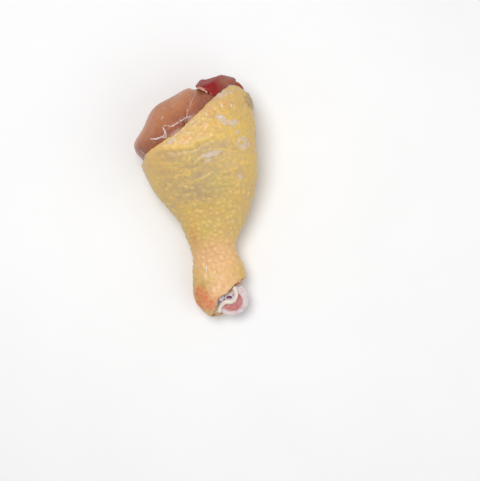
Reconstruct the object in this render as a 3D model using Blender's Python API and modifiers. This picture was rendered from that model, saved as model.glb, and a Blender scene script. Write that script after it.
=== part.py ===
"""Raw chicken drumstick: skin sleeve, five muscles, shin bone, and the joint ends at knee and ankle.

The leg lies on its side on the plane Z = 0. +Y runs from the ankle to the knee, +X to the shin side.
Lengths are in metres, and angles round the leg run from the shin side over the top, in degrees.
"""

import math

import bmesh
import bpy
import numpy as np
from mathutils import Matrix, Vector

MM = 0.001

# Outer shape of the leg, station by station from the ankle to the knee: the place along the leg, the
# widths to the calf side and to the shin side of its axis, and the heights of its top and underside.
# The table presses the underside flat.
STATIONS = np.array([
    (-60, 7.5, 8.5, 14.5, 2.6),
    (-56, 10.6, 10.6, 17.6, 0.4),
    (-50, 13.8, 12.6, 19.6, -1.1),
    (-40, 13.4, 13.2, 19.8, -0.6),
    (-31, 12.6, 11.2, 20.0, 1.6),
    (-26, 12.1, 10.6, 21.0, 2.4),
    (-20, 12.6, 13.4, 23.4, 2.2),
    (-12, 14.6, 18.5, 27.8, 1.0),
    (-3, 19.2, 23.2, 33.2, -0.9),
    (8, 25.0, 27.2, 39.4, -2.2),
    (20, 28.4, 29.2, 43.8, -2.6),
    (32, 32.2, 29.9, 45.6, -2.2),
    (42, 31.8, 29.4, 45.0, -0.3),
    (50, 28.5, 27.4, 42.4, 3.6),
    (56, 23, 23.5, 39.0, 8.5),
    (61, 14, 17, 33.5, 14),
]) * MM
STATION_Y, CALF_SIDE, SHIN_SIDE, TOP, UNDERSIDE = STATIONS.T
SQUARENESS = 2.2

# Ends of the skin sleeve: how far along the leg it reaches at each angle round it, in degrees from the
# shin side over the top. The knee end is the slanted knife cut that leaves the meat bare.
KNEE_CUT = {5: 50.9, 22: 53.4, 42: 50.2, 70: 43.4, 90: 37.8, 113: 31.8, 137: 27.6, 157: 25.2,
            176: 23.8, 205: 23.6, 237: 27.0, 270: 33.5, 300: 40.5, 330: 46.5, 349: 48.6}
ANKLE_CUT = {5: -40.6, 33: -42.6, 50: -44.2, 77: -48.0, 98: -50.4, 112: -53.0, 128: -56.2, 150: -58.2,
             180: -58.8, 225: -59.2, 258: -58.6, 285: -55.0, 312: -48.0, 345: -41.6}

SKIN_THICKNESS = 1.5 * MM
SKIN_GAP = 0.6 * MM
BONE_GAP = 0.7 * MM
GAP = 0.3 * MM
MERGE = 0.01 * MM
REST_STEP = 0.35 * MM
SKIN_EDGE = 0.5 * MM

# The skin's flared fold on the shin side at the knee, and the soft unevenness of the flesh.
FOLD_HEIGHT = 4.0 * MM
FOLD_ANGLE = -17.0
FOLD_SPREAD = 13.0
FOLD_START = 37 * MM
FOLD_FULL = 44 * MM
LUMP_HEIGHT = 0.45 * MM
LUMP_LENGTH = 19 * MM
LUMP_WAVES = 7

# Feather follicles: raised points in staggered rows on the skin.
FOLLICLE_HEIGHT = 0.42 * MM
SKIN_COLUMNS = 56
SKIN_ROWS = 35
SKIN_INNER_ROWS = 17

# Shin bone: its axis and its radius along it.
BONE_Y = np.array([-52, -44, -26, 0, 25, 36, 43, 47, 49.4]) * MM
BONE_X = np.array([4.5, 3.2, 0.9, 2.2, 5.8, 8.2, 9.6, 10.0, 10.2]) * MM
BONE_Z = np.array([10.2, 10.0, 11.0, 15.5, 20.0, 22.0, 23.0, 23.2, 23.2]) * MM
BONE_RADIUS = np.array([4.4, 4.2, 3.7, 3.8, 4.4, 5.4, 7.0, 7.4, 5.8]) * MM
BONE_FLATNESS = 0.92
BONE_SEGMENTS = 16
BONE_RINGS = 18

# Knee cartilage: a cap over the bone's head.
CAP_START = 43.5 * MM
CAP_RIM = 47.0 * MM
CAP_END = 51.4 * MM
CAP_RADIUS = 9.0 * MM
CAP_LIP = 0.9 * MM
CAP_SQUARENESS = 0.7
CAP_DISH_DEPTH = 1.0 * MM
CAP_DISH_RADIUS = 3.4 * MM
CAP_RINGS = 6

# Ankle knuckle: a rounded drum, cut by a slanted blade that bares the spongy bone in it.
KNUCKLE_CENTRE = Vector((4.9, -51.6, 10.2)) * MM
KNUCKLE_RADIUS = 8.6 * MM
KNUCKLE_HALF_HEIGHT = 7.5 * MM
KNUCKLE_SQUARENESS = 2.5
CORE_RADIUS = 6.0 * MM
CORE_HALF_HEIGHT = 5.4 * MM
BLADE_HEIGHT = 3.6 * MM
BLADE_NORMAL = Vector((-0.10, -0.24, 0.96)).normalized()
BLADE_SIZE = 40 * MM
KNUCKLE_STEPS = 24
KNUCKLE_PROFILE_STEPS = 10

# Muscles: the angles about the bone that bound each along the calf and then at the knee, where it
# starts, and the ellipsoid that rounds its knee end, as centre and half sizes.
MUSCLES = {
    "calf_muscle": ((121, 206), (121, 206), -20, (2.0, 16.0, 22.0), (37.0, 41.0, 27.0)),
    "middle_muscle": ((92, 121), (116, 121), -19, (3.0, 22.0, 25.0), (30.0, 34.5, 26.0)),
    "red_muscle": ((18, 92), (18, 116), -18, (15.5, 38.0, 29.0), (19.0, 26.0, 17.0)),
    "shin_muscle": ((-82, 18), (-82, 18), -19, (10.0, 18.0, 21.0), (24.0, 37.5, 25.0)),
    "under_muscle": ((206, 278), (206, 278), -17, (0.0, 14.0, 23.0), (31.0, 40.0, 32.0)),
}
TWIST_START = 48 * MM
TWIST_FULL = 56 * MM
SEAM_GAP = 0.25 * MM
MUSCLE_ROUNDING = 0.7 * MM
MUSCLE_SEGMENTS = 18
MUSCLE_RINGS = 12
MUSCLE_CAP_RINGS = 5
MUSCLE_START_CAP = 4 * MM
MUSCLE_END_SHARE = 0.25
LONGEST_RAY = 60 * MM
HALVINGS = 26
BULGE_START = 2 * MM
BULGE_LENGTH = 6 * MM
BULGE_INSET = 0.2 * MM

# Tendon that bends over the cut knuckle, beside an oval vein.
TENDON_HALF_WIDTH = 1.1 * MM
TENDON_HALF_HEIGHT = 0.8 * MM
TENDON_ROUTE = np.array([(2.5, 6.6), (3.2, 5.2), (3.7, 2.6), (3.2, 0.4), (1.6, -1.2), (-0.5, -1.6),
                         (-2.7, -1.0), (-4.8, -1.8), (-6.2, -3.4), (-6.6, -5.0)]) * MM
TENDON_RINGS = 26
TENDON_SEGMENTS = 10
TENDON_TIP = 0.66 * MM
TENDON_TIP_SHARE = 0.55
VEIN_CENTRE = (-1.1 * MM, 1.4 * MM)
VEIN_RADIUS = 1.8 * MM
VEIN_HOLE = 1.15 * MM
VEIN_HEIGHT = 0.9 * MM
VEIN_SHOULDER = 0.7 * MM
VEIN_FLOOR = 0.25 * MM
VEIN_OVAL = (1.2, 0.85, 1.0)
VEIN_STEPS = 16
TISSUE_START = -21.5 * MM
TISSUE_SEGMENTS = 24
TISSUE_RINGS = 8
TISSUE_SHORT = 1.2 * MM


def through(stations, values, at):
    """Smooth curve through values at stations, read at any positions."""
    slopes = np.gradient(values, stations)
    i = np.clip(np.searchsorted(stations, at) - 1, 0, len(stations) - 2)
    step = stations[i + 1] - stations[i]
    t = np.clip((at - stations[i]) / step, 0, 1)
    return (
        values[i] * (1 + 2 * t) * (1 - t) ** 2
        + values[i + 1] * (3 - 2 * t) * t**2
        + step * t * (1 - t) * (slopes[i] * (1 - t) - slopes[i + 1] * t)
    )


def around(cut, angle):
    """A knife cut's reach along the leg, at angles in radians round it."""
    degrees = np.array([a + turn for turn in (-360, 0, 360) for a in cut], float)
    reach = np.array(list(cut.values()) * 3, float) * MM
    return through(degrees, reach, np.degrees(angle) % 360)


def ease(x, start, end):
    t = np.clip((x - start) / (end - start), 0, 1)
    return t * t * (3 - 2 * t)


def lumps(x, y, z):
    """Soft unevenness, the sum of a few seeded waves through space."""
    draw = np.random.RandomState(5)
    total = np.zeros(np.broadcast(x, y, z).shape)
    for _ in range(LUMP_WAVES):
        way = draw.normal(size=3)
        way /= np.linalg.norm(way)
        phase = draw.uniform(0, 2 * math.pi)
        total += np.sin(2 * math.pi * (way[0] * x + way[1] * y + way[2] * z) / LUMP_LENGTH + phase)
    return LUMP_HEIGHT * total / math.sqrt(LUMP_WAVES)


def axis_height(y):
    return (through(STATION_Y, TOP, y) + through(STATION_Y, UNDERSIDE, y)) / 2


def leg_radius(y, angle):
    """Distance from the leg's axis to its outer surface."""
    half_height = (through(STATION_Y, TOP, y) - through(STATION_Y, UNDERSIDE, y)) / 2
    side = np.where(np.cos(angle) > 0, through(STATION_Y, SHIN_SIDE, y), through(STATION_Y, CALF_SIDE, y))
    across = np.abs(np.cos(angle) / side) ** SQUARENESS
    upright = np.abs(np.sin(angle) / half_height) ** SQUARENESS
    radius = (across + upright) ** (-1 / SQUARENESS)
    off_fold = (np.degrees(angle) - FOLD_ANGLE + 180) % 360 - 180
    fold = FOLD_HEIGHT * np.exp(-((off_fold / FOLD_SPREAD) ** 2)) * ease(y, FOLD_START, FOLD_FULL)
    x, z = radius * np.cos(angle), radius * np.sin(angle)
    return radius + fold + lumps(x, y, z)


def press(z, table):
    """Heights pressed flat onto a table: what comes within a small step of it lies on it."""
    return np.where(z - table < REST_STEP, table, z)


def leg_points(y, angle, inset, relief=0.0):
    """Points on the leg's surface, or on a surface that lies inset inside it."""
    radius = leg_radius(y, angle) - inset + relief
    x = radius * np.cos(angle)
    z = press(axis_height(y) + radius * np.sin(angle), inset)
    return np.stack([x, np.broadcast_to(y, x.shape), z], axis=-1)


def bone_axis(y):
    return through(BONE_Y, BONE_X, y), through(BONE_Y, BONE_Z, y)


def bone_and_cap_radius(y):
    """Radius that the bone and its cartilage cap fill, for what lies round them."""
    bone = through(BONE_Y, BONE_RADIUS, y)
    cap = CAP_RADIUS * ease(y, CAP_START - 11 * MM, CAP_START - 4 * MM)
    return np.maximum(bone, cap)


def seam_angle(along_calf, at_knee, y):
    """Angle about the bone of a seam between two muscles."""
    return np.radians(along_calf + (at_knee - along_calf) * ease(y, TWIST_START, TWIST_FULL))


def new_material(name, colour, roughness):
    material = bpy.data.materials.new(name)
    material.use_nodes = True
    shader = material.node_tree.nodes["Principled BSDF"]
    shader.inputs["Base Color"].default_value = (*colour, 1)
    shader.inputs["Roughness"].default_value = roughness
    shader.inputs["Metallic"].default_value = 0
    return material


def add_object(name, mesh, collection, material=None):
    made = bpy.data.objects.new(name, mesh)
    collection.objects.link(made)
    if material:
        mesh.materials.append(material)
        mesh.shade_smooth()
    else:
        made.hide_render = True
        made.display_type = "WIRE"
    return made


def loft(name, rings, closed):
    """Mesh that joins rings of points in order, closed into a loop or with each end drawn to its middle."""
    rows, columns = len(rings), len(rings[0])
    points = [tuple(p) for ring in rings for p in ring]
    faces = []
    for row in range(rows if closed else rows - 1):
        here, there = row * columns, (row + 1) % rows * columns
        for column in range(columns):
            beside = (column + 1) % columns
            faces.append((here + column, here + beside, there + beside, there + column))
    if not closed:
        for ring, first, turn in ((rings[0], 0, -1), (rings[-1], (rows - 1) * columns, 1)):
            points.append(tuple(np.mean(ring, axis=0)))
            for column in range(columns):
                corners = (first + column, first + (column + 1) % columns, len(points) - 1)
                faces.append(corners[::turn])
    mesh = bpy.data.meshes.new(name)
    mesh.from_pydata(points, [], faces)
    shape = bmesh.new()
    shape.from_mesh(mesh)
    bmesh.ops.recalc_face_normals(shape, faces=shape.faces)
    shape.to_mesh(mesh)
    shape.free()
    return mesh


def full_turn(segments):
    return np.linspace(0, 2 * math.pi, segments, endpoint=False)


def follicles(rows):
    """Heights of the raised follicles on the skin's grid: every other point of every other row."""
    draw = np.random.RandomState(11)
    row, column = np.mgrid[0:rows, 0:SKIN_COLUMNS]
    raised = (row % 2 == 1) & ((column + row // 2) % 2 == 0) & (row > 1) & (row < rows - 2)
    size = draw.uniform(0.55, 1.2, raised.shape) * (draw.uniform(size=raised.shape) > 0.08)
    return FOLLICLE_HEIGHT * raised * size


def skin_mesh():
    """The sleeve: out along its outside, over the rounded cut, and back along its inside."""
    angle = full_turn(SKIN_COLUMNS)
    ankle, knee = around(ANKLE_CUT, angle), around(KNEE_CUT, angle)
    relief = follicles(SKIN_ROWS)
    outside = [
        leg_points(ankle + (knee - ankle) * t, angle, 0, relief[row])
        for row, t in enumerate(np.linspace(0, 1, SKIN_ROWS))
    ]
    inside = [
        leg_points(ankle + (knee - ankle) * t, angle, SKIN_THICKNESS)
        for t in np.linspace(1, 0, SKIN_INNER_ROWS)
    ]
    knee_rim = leg_points(knee + SKIN_EDGE, angle, SKIN_THICKNESS / 2)
    ankle_rim = leg_points(ankle - SKIN_EDGE, angle, SKIN_THICKNESS / 2)
    return loft("skin", [*outside, knee_rim, *inside, ankle_rim], closed=True)


def bone_ring(y, radius):
    x, z = bone_axis(y)
    angle = full_turn(BONE_SEGMENTS)
    height = BONE_FLATNESS * radius * np.sin(angle)
    ring = [x + radius * np.cos(angle), np.full(BONE_SEGMENTS, y), z + height]
    return np.stack(ring, axis=-1)


def shaft_mesh(name, grow=0.0):
    """The bone from the knuckle to the knee, or the space that it needs with a gap round it."""
    along = np.linspace(BONE_Y[0], BONE_Y[-1], BONE_RINGS)
    return loft(name, [bone_ring(y, through(BONE_Y, BONE_RADIUS, y) + grow) for y in along], closed=False)


def cap_mesh():
    """Knee cartilage: a cap, dished in its middle, that fits over the bone's end."""
    inner_y = np.linspace(BONE_Y[-1] + GAP, CAP_START, CAP_RINGS)
    inner_radius = through(BONE_Y, BONE_RADIUS, inner_y) + 1.5 * GAP
    inside = [bone_ring(y, radius) for y, radius in zip(inner_y, inner_radius)]
    roof = bone_ring(inner_y[0], inner_radius[0] / 3)
    tilt = np.linspace(0, math.pi / 2, CAP_RINGS, endpoint=False)
    outer_y = CAP_RIM + (CAP_END - CAP_RIM) * np.sin(tilt)
    outside = [bone_ring(y, CAP_RADIUS * math.cos(a) ** CAP_SQUARENESS) for y, a in zip(outer_y, tilt)]
    lip = bone_ring(CAP_START, CAP_RADIUS - CAP_LIP)
    dish = [bone_ring(CAP_END, CAP_DISH_RADIUS), bone_ring(CAP_END - CAP_DISH_DEPTH, CAP_DISH_RADIUS / 3)]
    return loft("knee_cartilage", [roof, *inside, lip, *outside, *dish], closed=False)


def profile_mesh(name, profile):
    """Edges through points of radius and height, from the turning axis back to it."""
    mesh = bpy.data.meshes.new(name)
    points = [(radius, 0, height) for radius, height in profile]
    mesh.from_pydata(points, [(i, i + 1) for i in range(len(points) - 1)], [])
    return mesh


def drum_mesh(name, radius, half_height):
    """Profile of a rounded drum, from its top to its bottom."""
    tilt = np.linspace(math.pi / 2, -math.pi / 2, KNUCKLE_PROFILE_STEPS + 1)
    across = radius * np.abs(np.cos(tilt)) ** (2 / KNUCKLE_SQUARENESS)
    across[[0, -1]] = 0
    up = half_height * np.sign(np.sin(tilt)) * np.abs(np.sin(tilt)) ** (2 / KNUCKLE_SQUARENESS)
    return profile_mesh(name, zip(across, up))


def turn(made, steps=KNUCKLE_STEPS):
    screw = made.modifiers.new("turn", "SCREW")
    screw.steps = screw.render_steps = steps
    screw.use_merge_vertices = True
    screw.merge_threshold = MERGE
    screw.use_smooth_shade = True
    made.location = KNUCKLE_CENTRE
    return made


def add_drum(name, radius, half_height, collection, material=None):
    return turn(add_object(name, drum_mesh(name, radius, half_height), collection, material))


def boolean(made, other, operation="DIFFERENCE"):
    step = made.modifiers.new(f"{operation.lower()} {other.name}", "BOOLEAN")
    step.operation = operation
    step.solver = "EXACT"
    step.object = other


def muscle_field(points, low, high, end_centre, end_size):
    """Roughly the distance outside a muscle: it fills its sector between bone and skin, softly rounded."""
    x, y, z = points[..., 0], points[..., 1], points[..., 2]
    up = z - axis_height(y)
    angle = np.arctan2(up, x)
    bare = ease(y - around(KNEE_CUT, angle), BULGE_START, BULGE_START + BULGE_LENGTH)
    inset = (SKIN_THICKNESS + SKIN_GAP) * (1 - bare) + BULGE_INSET * bare
    leg = np.hypot(x, up) - (leg_radius(y, angle) - inset)
    table = SKIN_THICKNESS + SKIN_GAP - z
    bone_x, bone_z = bone_axis(y)
    clear = bone_and_cap_radius(y) + BONE_GAP - np.hypot(x - bone_x, z - bone_z)
    first, last = seam_angle(*low, y), seam_angle(*high, y)
    past_low = (x - bone_x) * np.sin(first) - (z - bone_z) * np.cos(first) + SEAM_GAP
    past_high = (z - bone_z) * np.cos(last) - (x - bone_x) * np.sin(last) + SEAM_GAP
    scaled = (points - np.array(end_centre) * MM) / (np.array(end_size) * MM)
    reach = np.linalg.norm(scaled, axis=-1)
    away = np.linalg.norm(points - np.array(end_centre) * MM, axis=-1)
    end = np.where(y > end_centre[1] * MM, away * (1 - 1 / np.maximum(reach, 0.05)), -away)
    parts = np.stack([leg, table, clear, past_low, past_high, end]) / MUSCLE_ROUNDING
    return MUSCLE_ROUNDING * np.log(np.exp(np.clip(parts, -40, 40)).sum(axis=0))


def cast(place, field):
    """Where rays leave a solid, found by halving. place gives their points at a distance."""
    near, far = 0.0, LONGEST_RAY
    for _ in range(HALVINGS):
        middle = (near + far) / 2
        outside = field(place(middle)) > 0
        far = np.where(outside, middle, far)
        near = np.where(outside, near, middle)
    return place(near)


def muscle_mesh(name, calf_bounds, knee_bounds, start, end_centre, end_size):
    """Rings cast outwards from a line along the muscle, and fans of rays over its two round ends."""
    start_y = start * MM
    low, high = zip(calf_bounds, knee_bounds)
    angle = full_turn(MUSCLE_SEGMENTS)

    def field(points):
        blunt = start_y - points[..., 1]
        return np.maximum(muscle_field(points, low, high, end_centre, end_size), blunt)

    def about_bone(turned, out, y):
        bone_x, bone_z = bone_axis(y)
        x, z = bone_x + out * np.cos(turned), bone_z + out * np.sin(turned)
        return np.stack([x, np.broadcast_to(y, x.shape), z], axis=-1)

    def across(y):
        """The muscle's middle at y, as an angle about the bone and a distance from it, and its depth."""
        middle = (seam_angle(*low, y) + seam_angle(*high, y)) / 2
        out = np.linspace(0, LONGEST_RAY, 240)
        inside = out[field(about_bone(middle, out, y)) < 0]
        return (middle, inside.mean(), np.ptp(inside)) if len(inside) else (middle, 0, 0)

    def ring(y, tip):
        middle, out, _ = across(y)
        flat, up_leg = math.cos(tip), math.sin(tip)

        def place(reach):
            turned = np.clip(reach * np.cos(angle) * flat / out, -math.pi, math.pi)
            return about_bone(middle + turned, out + reach * np.sin(angle) * flat, y + reach * up_leg)

        return cast(place, field)

    first_y = start_y + MUSCLE_START_CAP
    stations = np.linspace(first_y, STATION_Y[-1], 80)
    depth = np.array([across(y)[2] for y in stations])
    last_y = stations[depth > MUSCLE_END_SHARE * depth.max()][-1]
    tips = np.linspace(0, math.pi / 2, MUSCLE_CAP_RINGS, endpoint=False)[1:]
    start_rings = [ring(first_y, -tip) for tip in tips[::-1]]
    rings = [ring(y, 0) for y in np.linspace(first_y, last_y, MUSCLE_RINGS)]
    end_rings = [ring(last_y, tip) for tip in tips]
    return loft(name, [*start_rings, *rings, *end_rings], closed=False)


def tissue_mesh():
    """Pale tissue that fills the skin's ankle end round the knuckle."""
    angle = full_turn(TISSUE_SEGMENTS)
    inset = SKIN_THICKNESS + SKIN_GAP
    end = around(ANKLE_CUT, angle) + TISSUE_SHORT
    shares = np.linspace(0, 1, TISSUE_RINGS)
    rings = [leg_points(end + (TISSUE_START - end) * share, angle, inset) for share in shares]
    return loft("ankle_tissue", rings, closed=False)


def blade_frame():
    """The cut face's middle, its direction across the leg, and its direction up the leg."""
    side = Vector((1, 0, 0))
    side = (side - BLADE_NORMAL * side.dot(BLADE_NORMAL)).normalized()
    return KNUCKLE_CENTRE + BLADE_NORMAL * BLADE_HEIGHT, side, BLADE_NORMAL.cross(side)


def blade_cutter(collection):
    """A block whose underside is the knuckle's cut face."""
    shape = bmesh.new()
    bmesh.ops.create_cube(shape, size=BLADE_SIZE)
    mesh = bpy.data.meshes.new("blade")
    shape.to_mesh(mesh)
    shape.free()
    made = add_object("blade", mesh, collection)
    made.rotation_mode = "QUATERNION"
    made.rotation_quaternion = BLADE_NORMAL.to_track_quat("Z", "Y")
    made.location = KNUCKLE_CENTRE + BLADE_NORMAL * (BLADE_HEIGHT + BLADE_SIZE / 2)
    return made


def tendon_mesh(name, grow=0.0):
    """A flattened band along its route with rounded ends, just clear of the cut face."""
    middle, side, up_leg = (np.array(v) for v in blade_frame())
    normal = np.array(BLADE_NORMAL)
    step = np.linalg.norm(np.diff(TENDON_ROUTE, axis=0), axis=1)
    reach = np.concatenate([[0], np.cumsum(step)])
    at = np.linspace(0, reach[-1], TENDON_RINGS)
    across, along = (through(reach, TENDON_ROUTE[:, k], at) for k in (0, 1))
    lifted = middle + normal * (TENDON_HALF_HEIGHT + GAP)
    centres = lifted + across[:, None] * side + along[:, None] * up_leg
    tangents = np.gradient(centres, axis=0)
    tangents /= np.linalg.norm(tangents, axis=1)[:, None]
    angle = full_turn(TENDON_SEGMENTS)
    rings = []
    for centre, tangent in zip(centres, tangents):
        wide = np.cross(normal, tangent) * (TENDON_HALF_WIDTH + grow)
        tall = normal * (TENDON_HALF_HEIGHT + grow)
        rings.append(centre + np.cos(angle)[:, None] * wide + np.sin(angle)[:, None] * tall)
    for ring, tangent, place in ((rings[0], -tangents[0], 0), (rings[-1], tangents[-1], len(rings) + 1)):
        centre = ring.mean(axis=0)
        tip = centre + TENDON_TIP_SHARE * (ring - centre) + tangent * (TENDON_TIP + grow)
        rings.insert(place, tip)
    return loft(name, rings, closed=False)


def add_vein(collection, material):
    """A short oval tube, open at the top, that stands on the cut face."""
    inner = [(0, VEIN_FLOOR), (VEIN_HOLE, VEIN_FLOOR), (VEIN_HOLE, VEIN_HEIGHT)]
    mesh = profile_mesh("vein", [*inner, (VEIN_RADIUS, VEIN_SHOULDER), (VEIN_RADIUS, 0), (0, 0)])
    made = turn(add_object("vein", mesh, collection, material), VEIN_STEPS)
    middle, side, up_leg = blade_frame()
    across, along = VEIN_CENTRE
    turned = Matrix((side, up_leg, BLADE_NORMAL)).transposed().to_4x4()
    place = Matrix.Translation(middle + side * across + up_leg * along + BLADE_NORMAL * GAP)
    made.matrix_world = place @ turned @ Matrix.Diagonal((*VEIN_OVAL, 1))


def main():
    for old in list(bpy.data.objects):
        bpy.data.objects.remove(old, do_unlink=True)
    leg = bpy.data.collections.new("drumstick")
    cutters = bpy.data.collections.new("cutters")
    for collection in (leg, cutters):
        bpy.context.scene.collection.children.link(collection)

    skin = new_material("skin", (0.72, 0.47, 0.20), 0.4)
    meat = new_material("meat", (0.55, 0.22, 0.14), 0.3)
    red_meat = new_material("red meat", (0.36, 0.06, 0.045), 0.3)
    bone = new_material("bone", (0.62, 0.20, 0.18), 0.45)
    cartilage = new_material("cartilage", (0.83, 0.80, 0.78), 0.25)
    sinew = new_material("sinew", (0.80, 0.70, 0.60), 0.35)
    blood = new_material("blood", (0.16, 0.04, 0.08), 0.3)

    add_object("skin", skin_mesh(), leg, skin)
    for name, shape in MUSCLES.items():
        add_object(name, muscle_mesh(name, *shape), leg, red_meat if name == "red_muscle" else meat)
    add_object("knee_cartilage", cap_mesh(), leg, cartilage)

    blade = blade_cutter(cutters)
    core = add_drum("core", CORE_RADIUS, CORE_HALF_HEIGHT, cutters)
    core_space = add_drum("core_space", CORE_RADIUS + GAP, CORE_HALF_HEIGHT + GAP, cutters)
    knuckle_space = add_drum("knuckle_space", KNUCKLE_RADIUS + GAP, KNUCKLE_HALF_HEIGHT + GAP, cutters)
    shaft_space = add_object("shaft_space", shaft_mesh("shaft_space", GAP), cutters)
    tendon_space = add_object("tendon_space", tendon_mesh("tendon_space", GAP), cutters)

    tibia = add_object("tibia", shaft_mesh("tibia"), leg, bone)
    boolean(tibia, core, "UNION")
    boolean(tibia, blade)
    knuckle = add_drum("ankle_cartilage", KNUCKLE_RADIUS, KNUCKLE_HALF_HEIGHT, leg, cartilage)
    for cutter in (core_space, shaft_space, blade):
        boolean(knuckle, cutter)
    tissue = add_object("ankle_tissue", tissue_mesh(), leg, sinew)
    for cutter in (knuckle_space, shaft_space, tendon_space):
        boolean(tissue, cutter)
    add_object("ankle_tendon", tendon_mesh("ankle_tendon"), leg, sinew)
    add_vein(leg, blood)


main()
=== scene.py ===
import math

import bmesh
import bpy
import numpy as np
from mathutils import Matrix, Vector, noise
from mathutils.bvhtree import BVHTree


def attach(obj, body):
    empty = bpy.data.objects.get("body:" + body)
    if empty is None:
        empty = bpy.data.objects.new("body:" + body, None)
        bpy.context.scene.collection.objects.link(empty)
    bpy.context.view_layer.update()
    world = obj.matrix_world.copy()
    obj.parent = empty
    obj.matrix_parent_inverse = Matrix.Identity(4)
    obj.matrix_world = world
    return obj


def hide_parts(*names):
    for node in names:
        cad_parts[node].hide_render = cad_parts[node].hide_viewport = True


mm = 0.001
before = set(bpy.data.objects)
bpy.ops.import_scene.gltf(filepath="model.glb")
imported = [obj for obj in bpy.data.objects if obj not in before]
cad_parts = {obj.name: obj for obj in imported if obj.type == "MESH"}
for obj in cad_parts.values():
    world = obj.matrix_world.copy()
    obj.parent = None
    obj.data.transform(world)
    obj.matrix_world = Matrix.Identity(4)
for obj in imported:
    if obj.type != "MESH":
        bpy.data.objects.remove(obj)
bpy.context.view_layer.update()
print("frame loaded:", len(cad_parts), "nodes")

# Shape of the whole leg
# y, width to the calf side, width to the shin side, top, underside, all in mm
leg = {
    "stations": [
        (-60, 7.5, 8.5, 14.5, 2.6),
        (-56, 10.6, 10.6, 17.6, 0.4),
        (-50, 13.8, 12.6, 19.6, -1.1),
        (-40, 13.4, 13.2, 19.8, -0.6),
        (-31, 12.6, 11.2, 20.0, 1.6),
        (-26, 12.1, 10.6, 21.0, 2.4),
        (-20, 12.6, 13.4, 23.4, 2.2),
        (-12, 14.6, 18.5, 27.8, 1.0),
        (-3, 19.2, 23.2, 33.2, -0.9),
        (8, 25.0, 27.2, 39.4, -2.2),
        (20, 28.4, 29.2, 43.8, -2.6),
        (32, 32.2, 29.9, 45.6, -2.2),
        (42, 31.8, 29.4, 45.0, -0.3),
        (50, 28.5, 27.4, 42.4, 3.6),
        (56, 23, 23.5, 39.0, 8.5),
        (61, 14, 17, 33.5, 14),
    ],
    "squareness": 2.2,
    "skinThickness": 1.5 * mm,
    "skinGap": 0.6 * mm,
    "boneGap": 0.7 * mm,
    "gap": 0.12 * mm,
    "ankleThickness": 0.8 * mm,
    "ankleThinning": 6 * mm,
    "tableEase": 0.6 * mm,
    "foldHeight": 4.0 * mm,  # the skin's flared fold at the knee
    "foldAngle": -17.0,
    "foldSpread": 13.0,
    "foldStart": 37 * mm,
    "foldFull": 44 * mm,
    "lumpHeight": 0.45 * mm,
    "lumpLength": 19 * mm,
    "lumpWaves": 7,
}
stationY, calfSide, shinSide, legTop, legUnder = np.array(leg["stations"]).T * mm

# Where the knife cut the skin: degrees round the leg, and mm along it
kneeCut = {5: 50.2, 22: 52.4, 42: 49.7, 70: 43.4, 90: 37.8, 113: 31.8, 137: 27.6, 157: 23.6,
           176: 21.4, 205: 21.6, 237: 26.4, 270: 33.5, 300: 40.5, 330: 46.5, 349: 48.6}
ankleCut = {5: -40.6, 33: -42.6, 50: -44.2, 77: -48.0, 94: -49.0, 104: -49.9, 110: -51.6, 118: -54.2,
            129: -56.0, 150: -58.2, 180: -58.8, 225: -59.2, 258: -58.6, 285: -55.0, 312: -48.0, 345: -41.6}


def through(stations, values, at):
    # smooth curve through values at stations
    slopes = np.gradient(values, stations)
    i = np.clip(np.searchsorted(stations, at) - 1, 0, len(stations) - 2)
    step = stations[i + 1] - stations[i]
    t = np.clip((at - stations[i]) / step, 0, 1)
    bend = step * t * (1 - t) * (slopes[i] * (1 - t) - slopes[i + 1] * t)
    return values[i] * (1 + 2 * t) * (1 - t) ** 2 + values[i + 1] * (3 - 2 * t) * t**2 + bend


def around(cut, angle):
    degrees = np.array([a + turn for turn in (-360, 0, 360) for a in cut], float)
    reach = np.array(list(cut.values()) * 3, float) * mm
    return through(degrees, reach, np.degrees(angle) % 360)


def ease(x, start, end):
    t = np.clip((x - start) / (end - start), 0, 1)
    return t * t * (3 - 2 * t)


def lumps(x, y, z):
    draw = np.random.RandomState(5)
    total = np.zeros(np.broadcast(x, y, z).shape)
    for _ in range(leg["lumpWaves"]):
        way = draw.normal(size=3)
        way /= np.linalg.norm(way)
        phase = draw.uniform(0, 2 * math.pi)
        along = way[0] * x + way[1] * y + way[2] * z
        total += np.sin(2 * math.pi * along / leg["lumpLength"] + phase)
    return leg["lumpHeight"] * total / math.sqrt(leg["lumpWaves"])


def axisHeight(y):
    return (through(stationY, legTop, y) + through(stationY, legUnder, y)) / 2


def legRadius(y, angle):
    halfHeight = (through(stationY, legTop, y) - through(stationY, legUnder, y)) / 2
    side = np.where(np.cos(angle) > 0, through(stationY, shinSide, y), through(stationY, calfSide, y))
    power = leg["squareness"]
    wide, tall = np.abs(np.cos(angle) / side), np.abs(np.sin(angle) / halfHeight)
    radius = (wide**power + tall**power) ** (-1 / power)
    offFold = (np.degrees(angle) - leg["foldAngle"] + 180) % 360 - 180
    fold = leg["foldHeight"] * np.exp(-((offFold / leg["foldSpread"]) ** 2))
    fold = fold * ease(y, leg["foldStart"], leg["foldFull"])
    return radius + fold + lumps(radius * np.cos(angle), y, radius * np.sin(angle))


def press(z, table):
    # what lies on the table is pressed flat
    over = z - table
    easing = leg["tableEase"]
    eased = (over + easing) ** 2 / (4 * easing)
    return table + np.where(over < -easing, 0, np.where(over > easing, over, eased))


def legPoints(y, angle, inset, relief=0.0):
    radius = legRadius(y, angle) - inset + relief
    x = radius * np.cos(angle)
    z = press(axisHeight(y) + radius * np.sin(angle), np.maximum(inset, 0))
    return np.stack([x, np.broadcast_to(y, x.shape), z], axis=-1)


# Small helpers for meshes
def fullTurn(segments):
    return np.linspace(0, 2 * math.pi, segments, endpoint=False)


def oval(turned, wide, tall):
    return np.cos(turned)[:, None] * wide + np.sin(turned)[:, None] * tall


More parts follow.
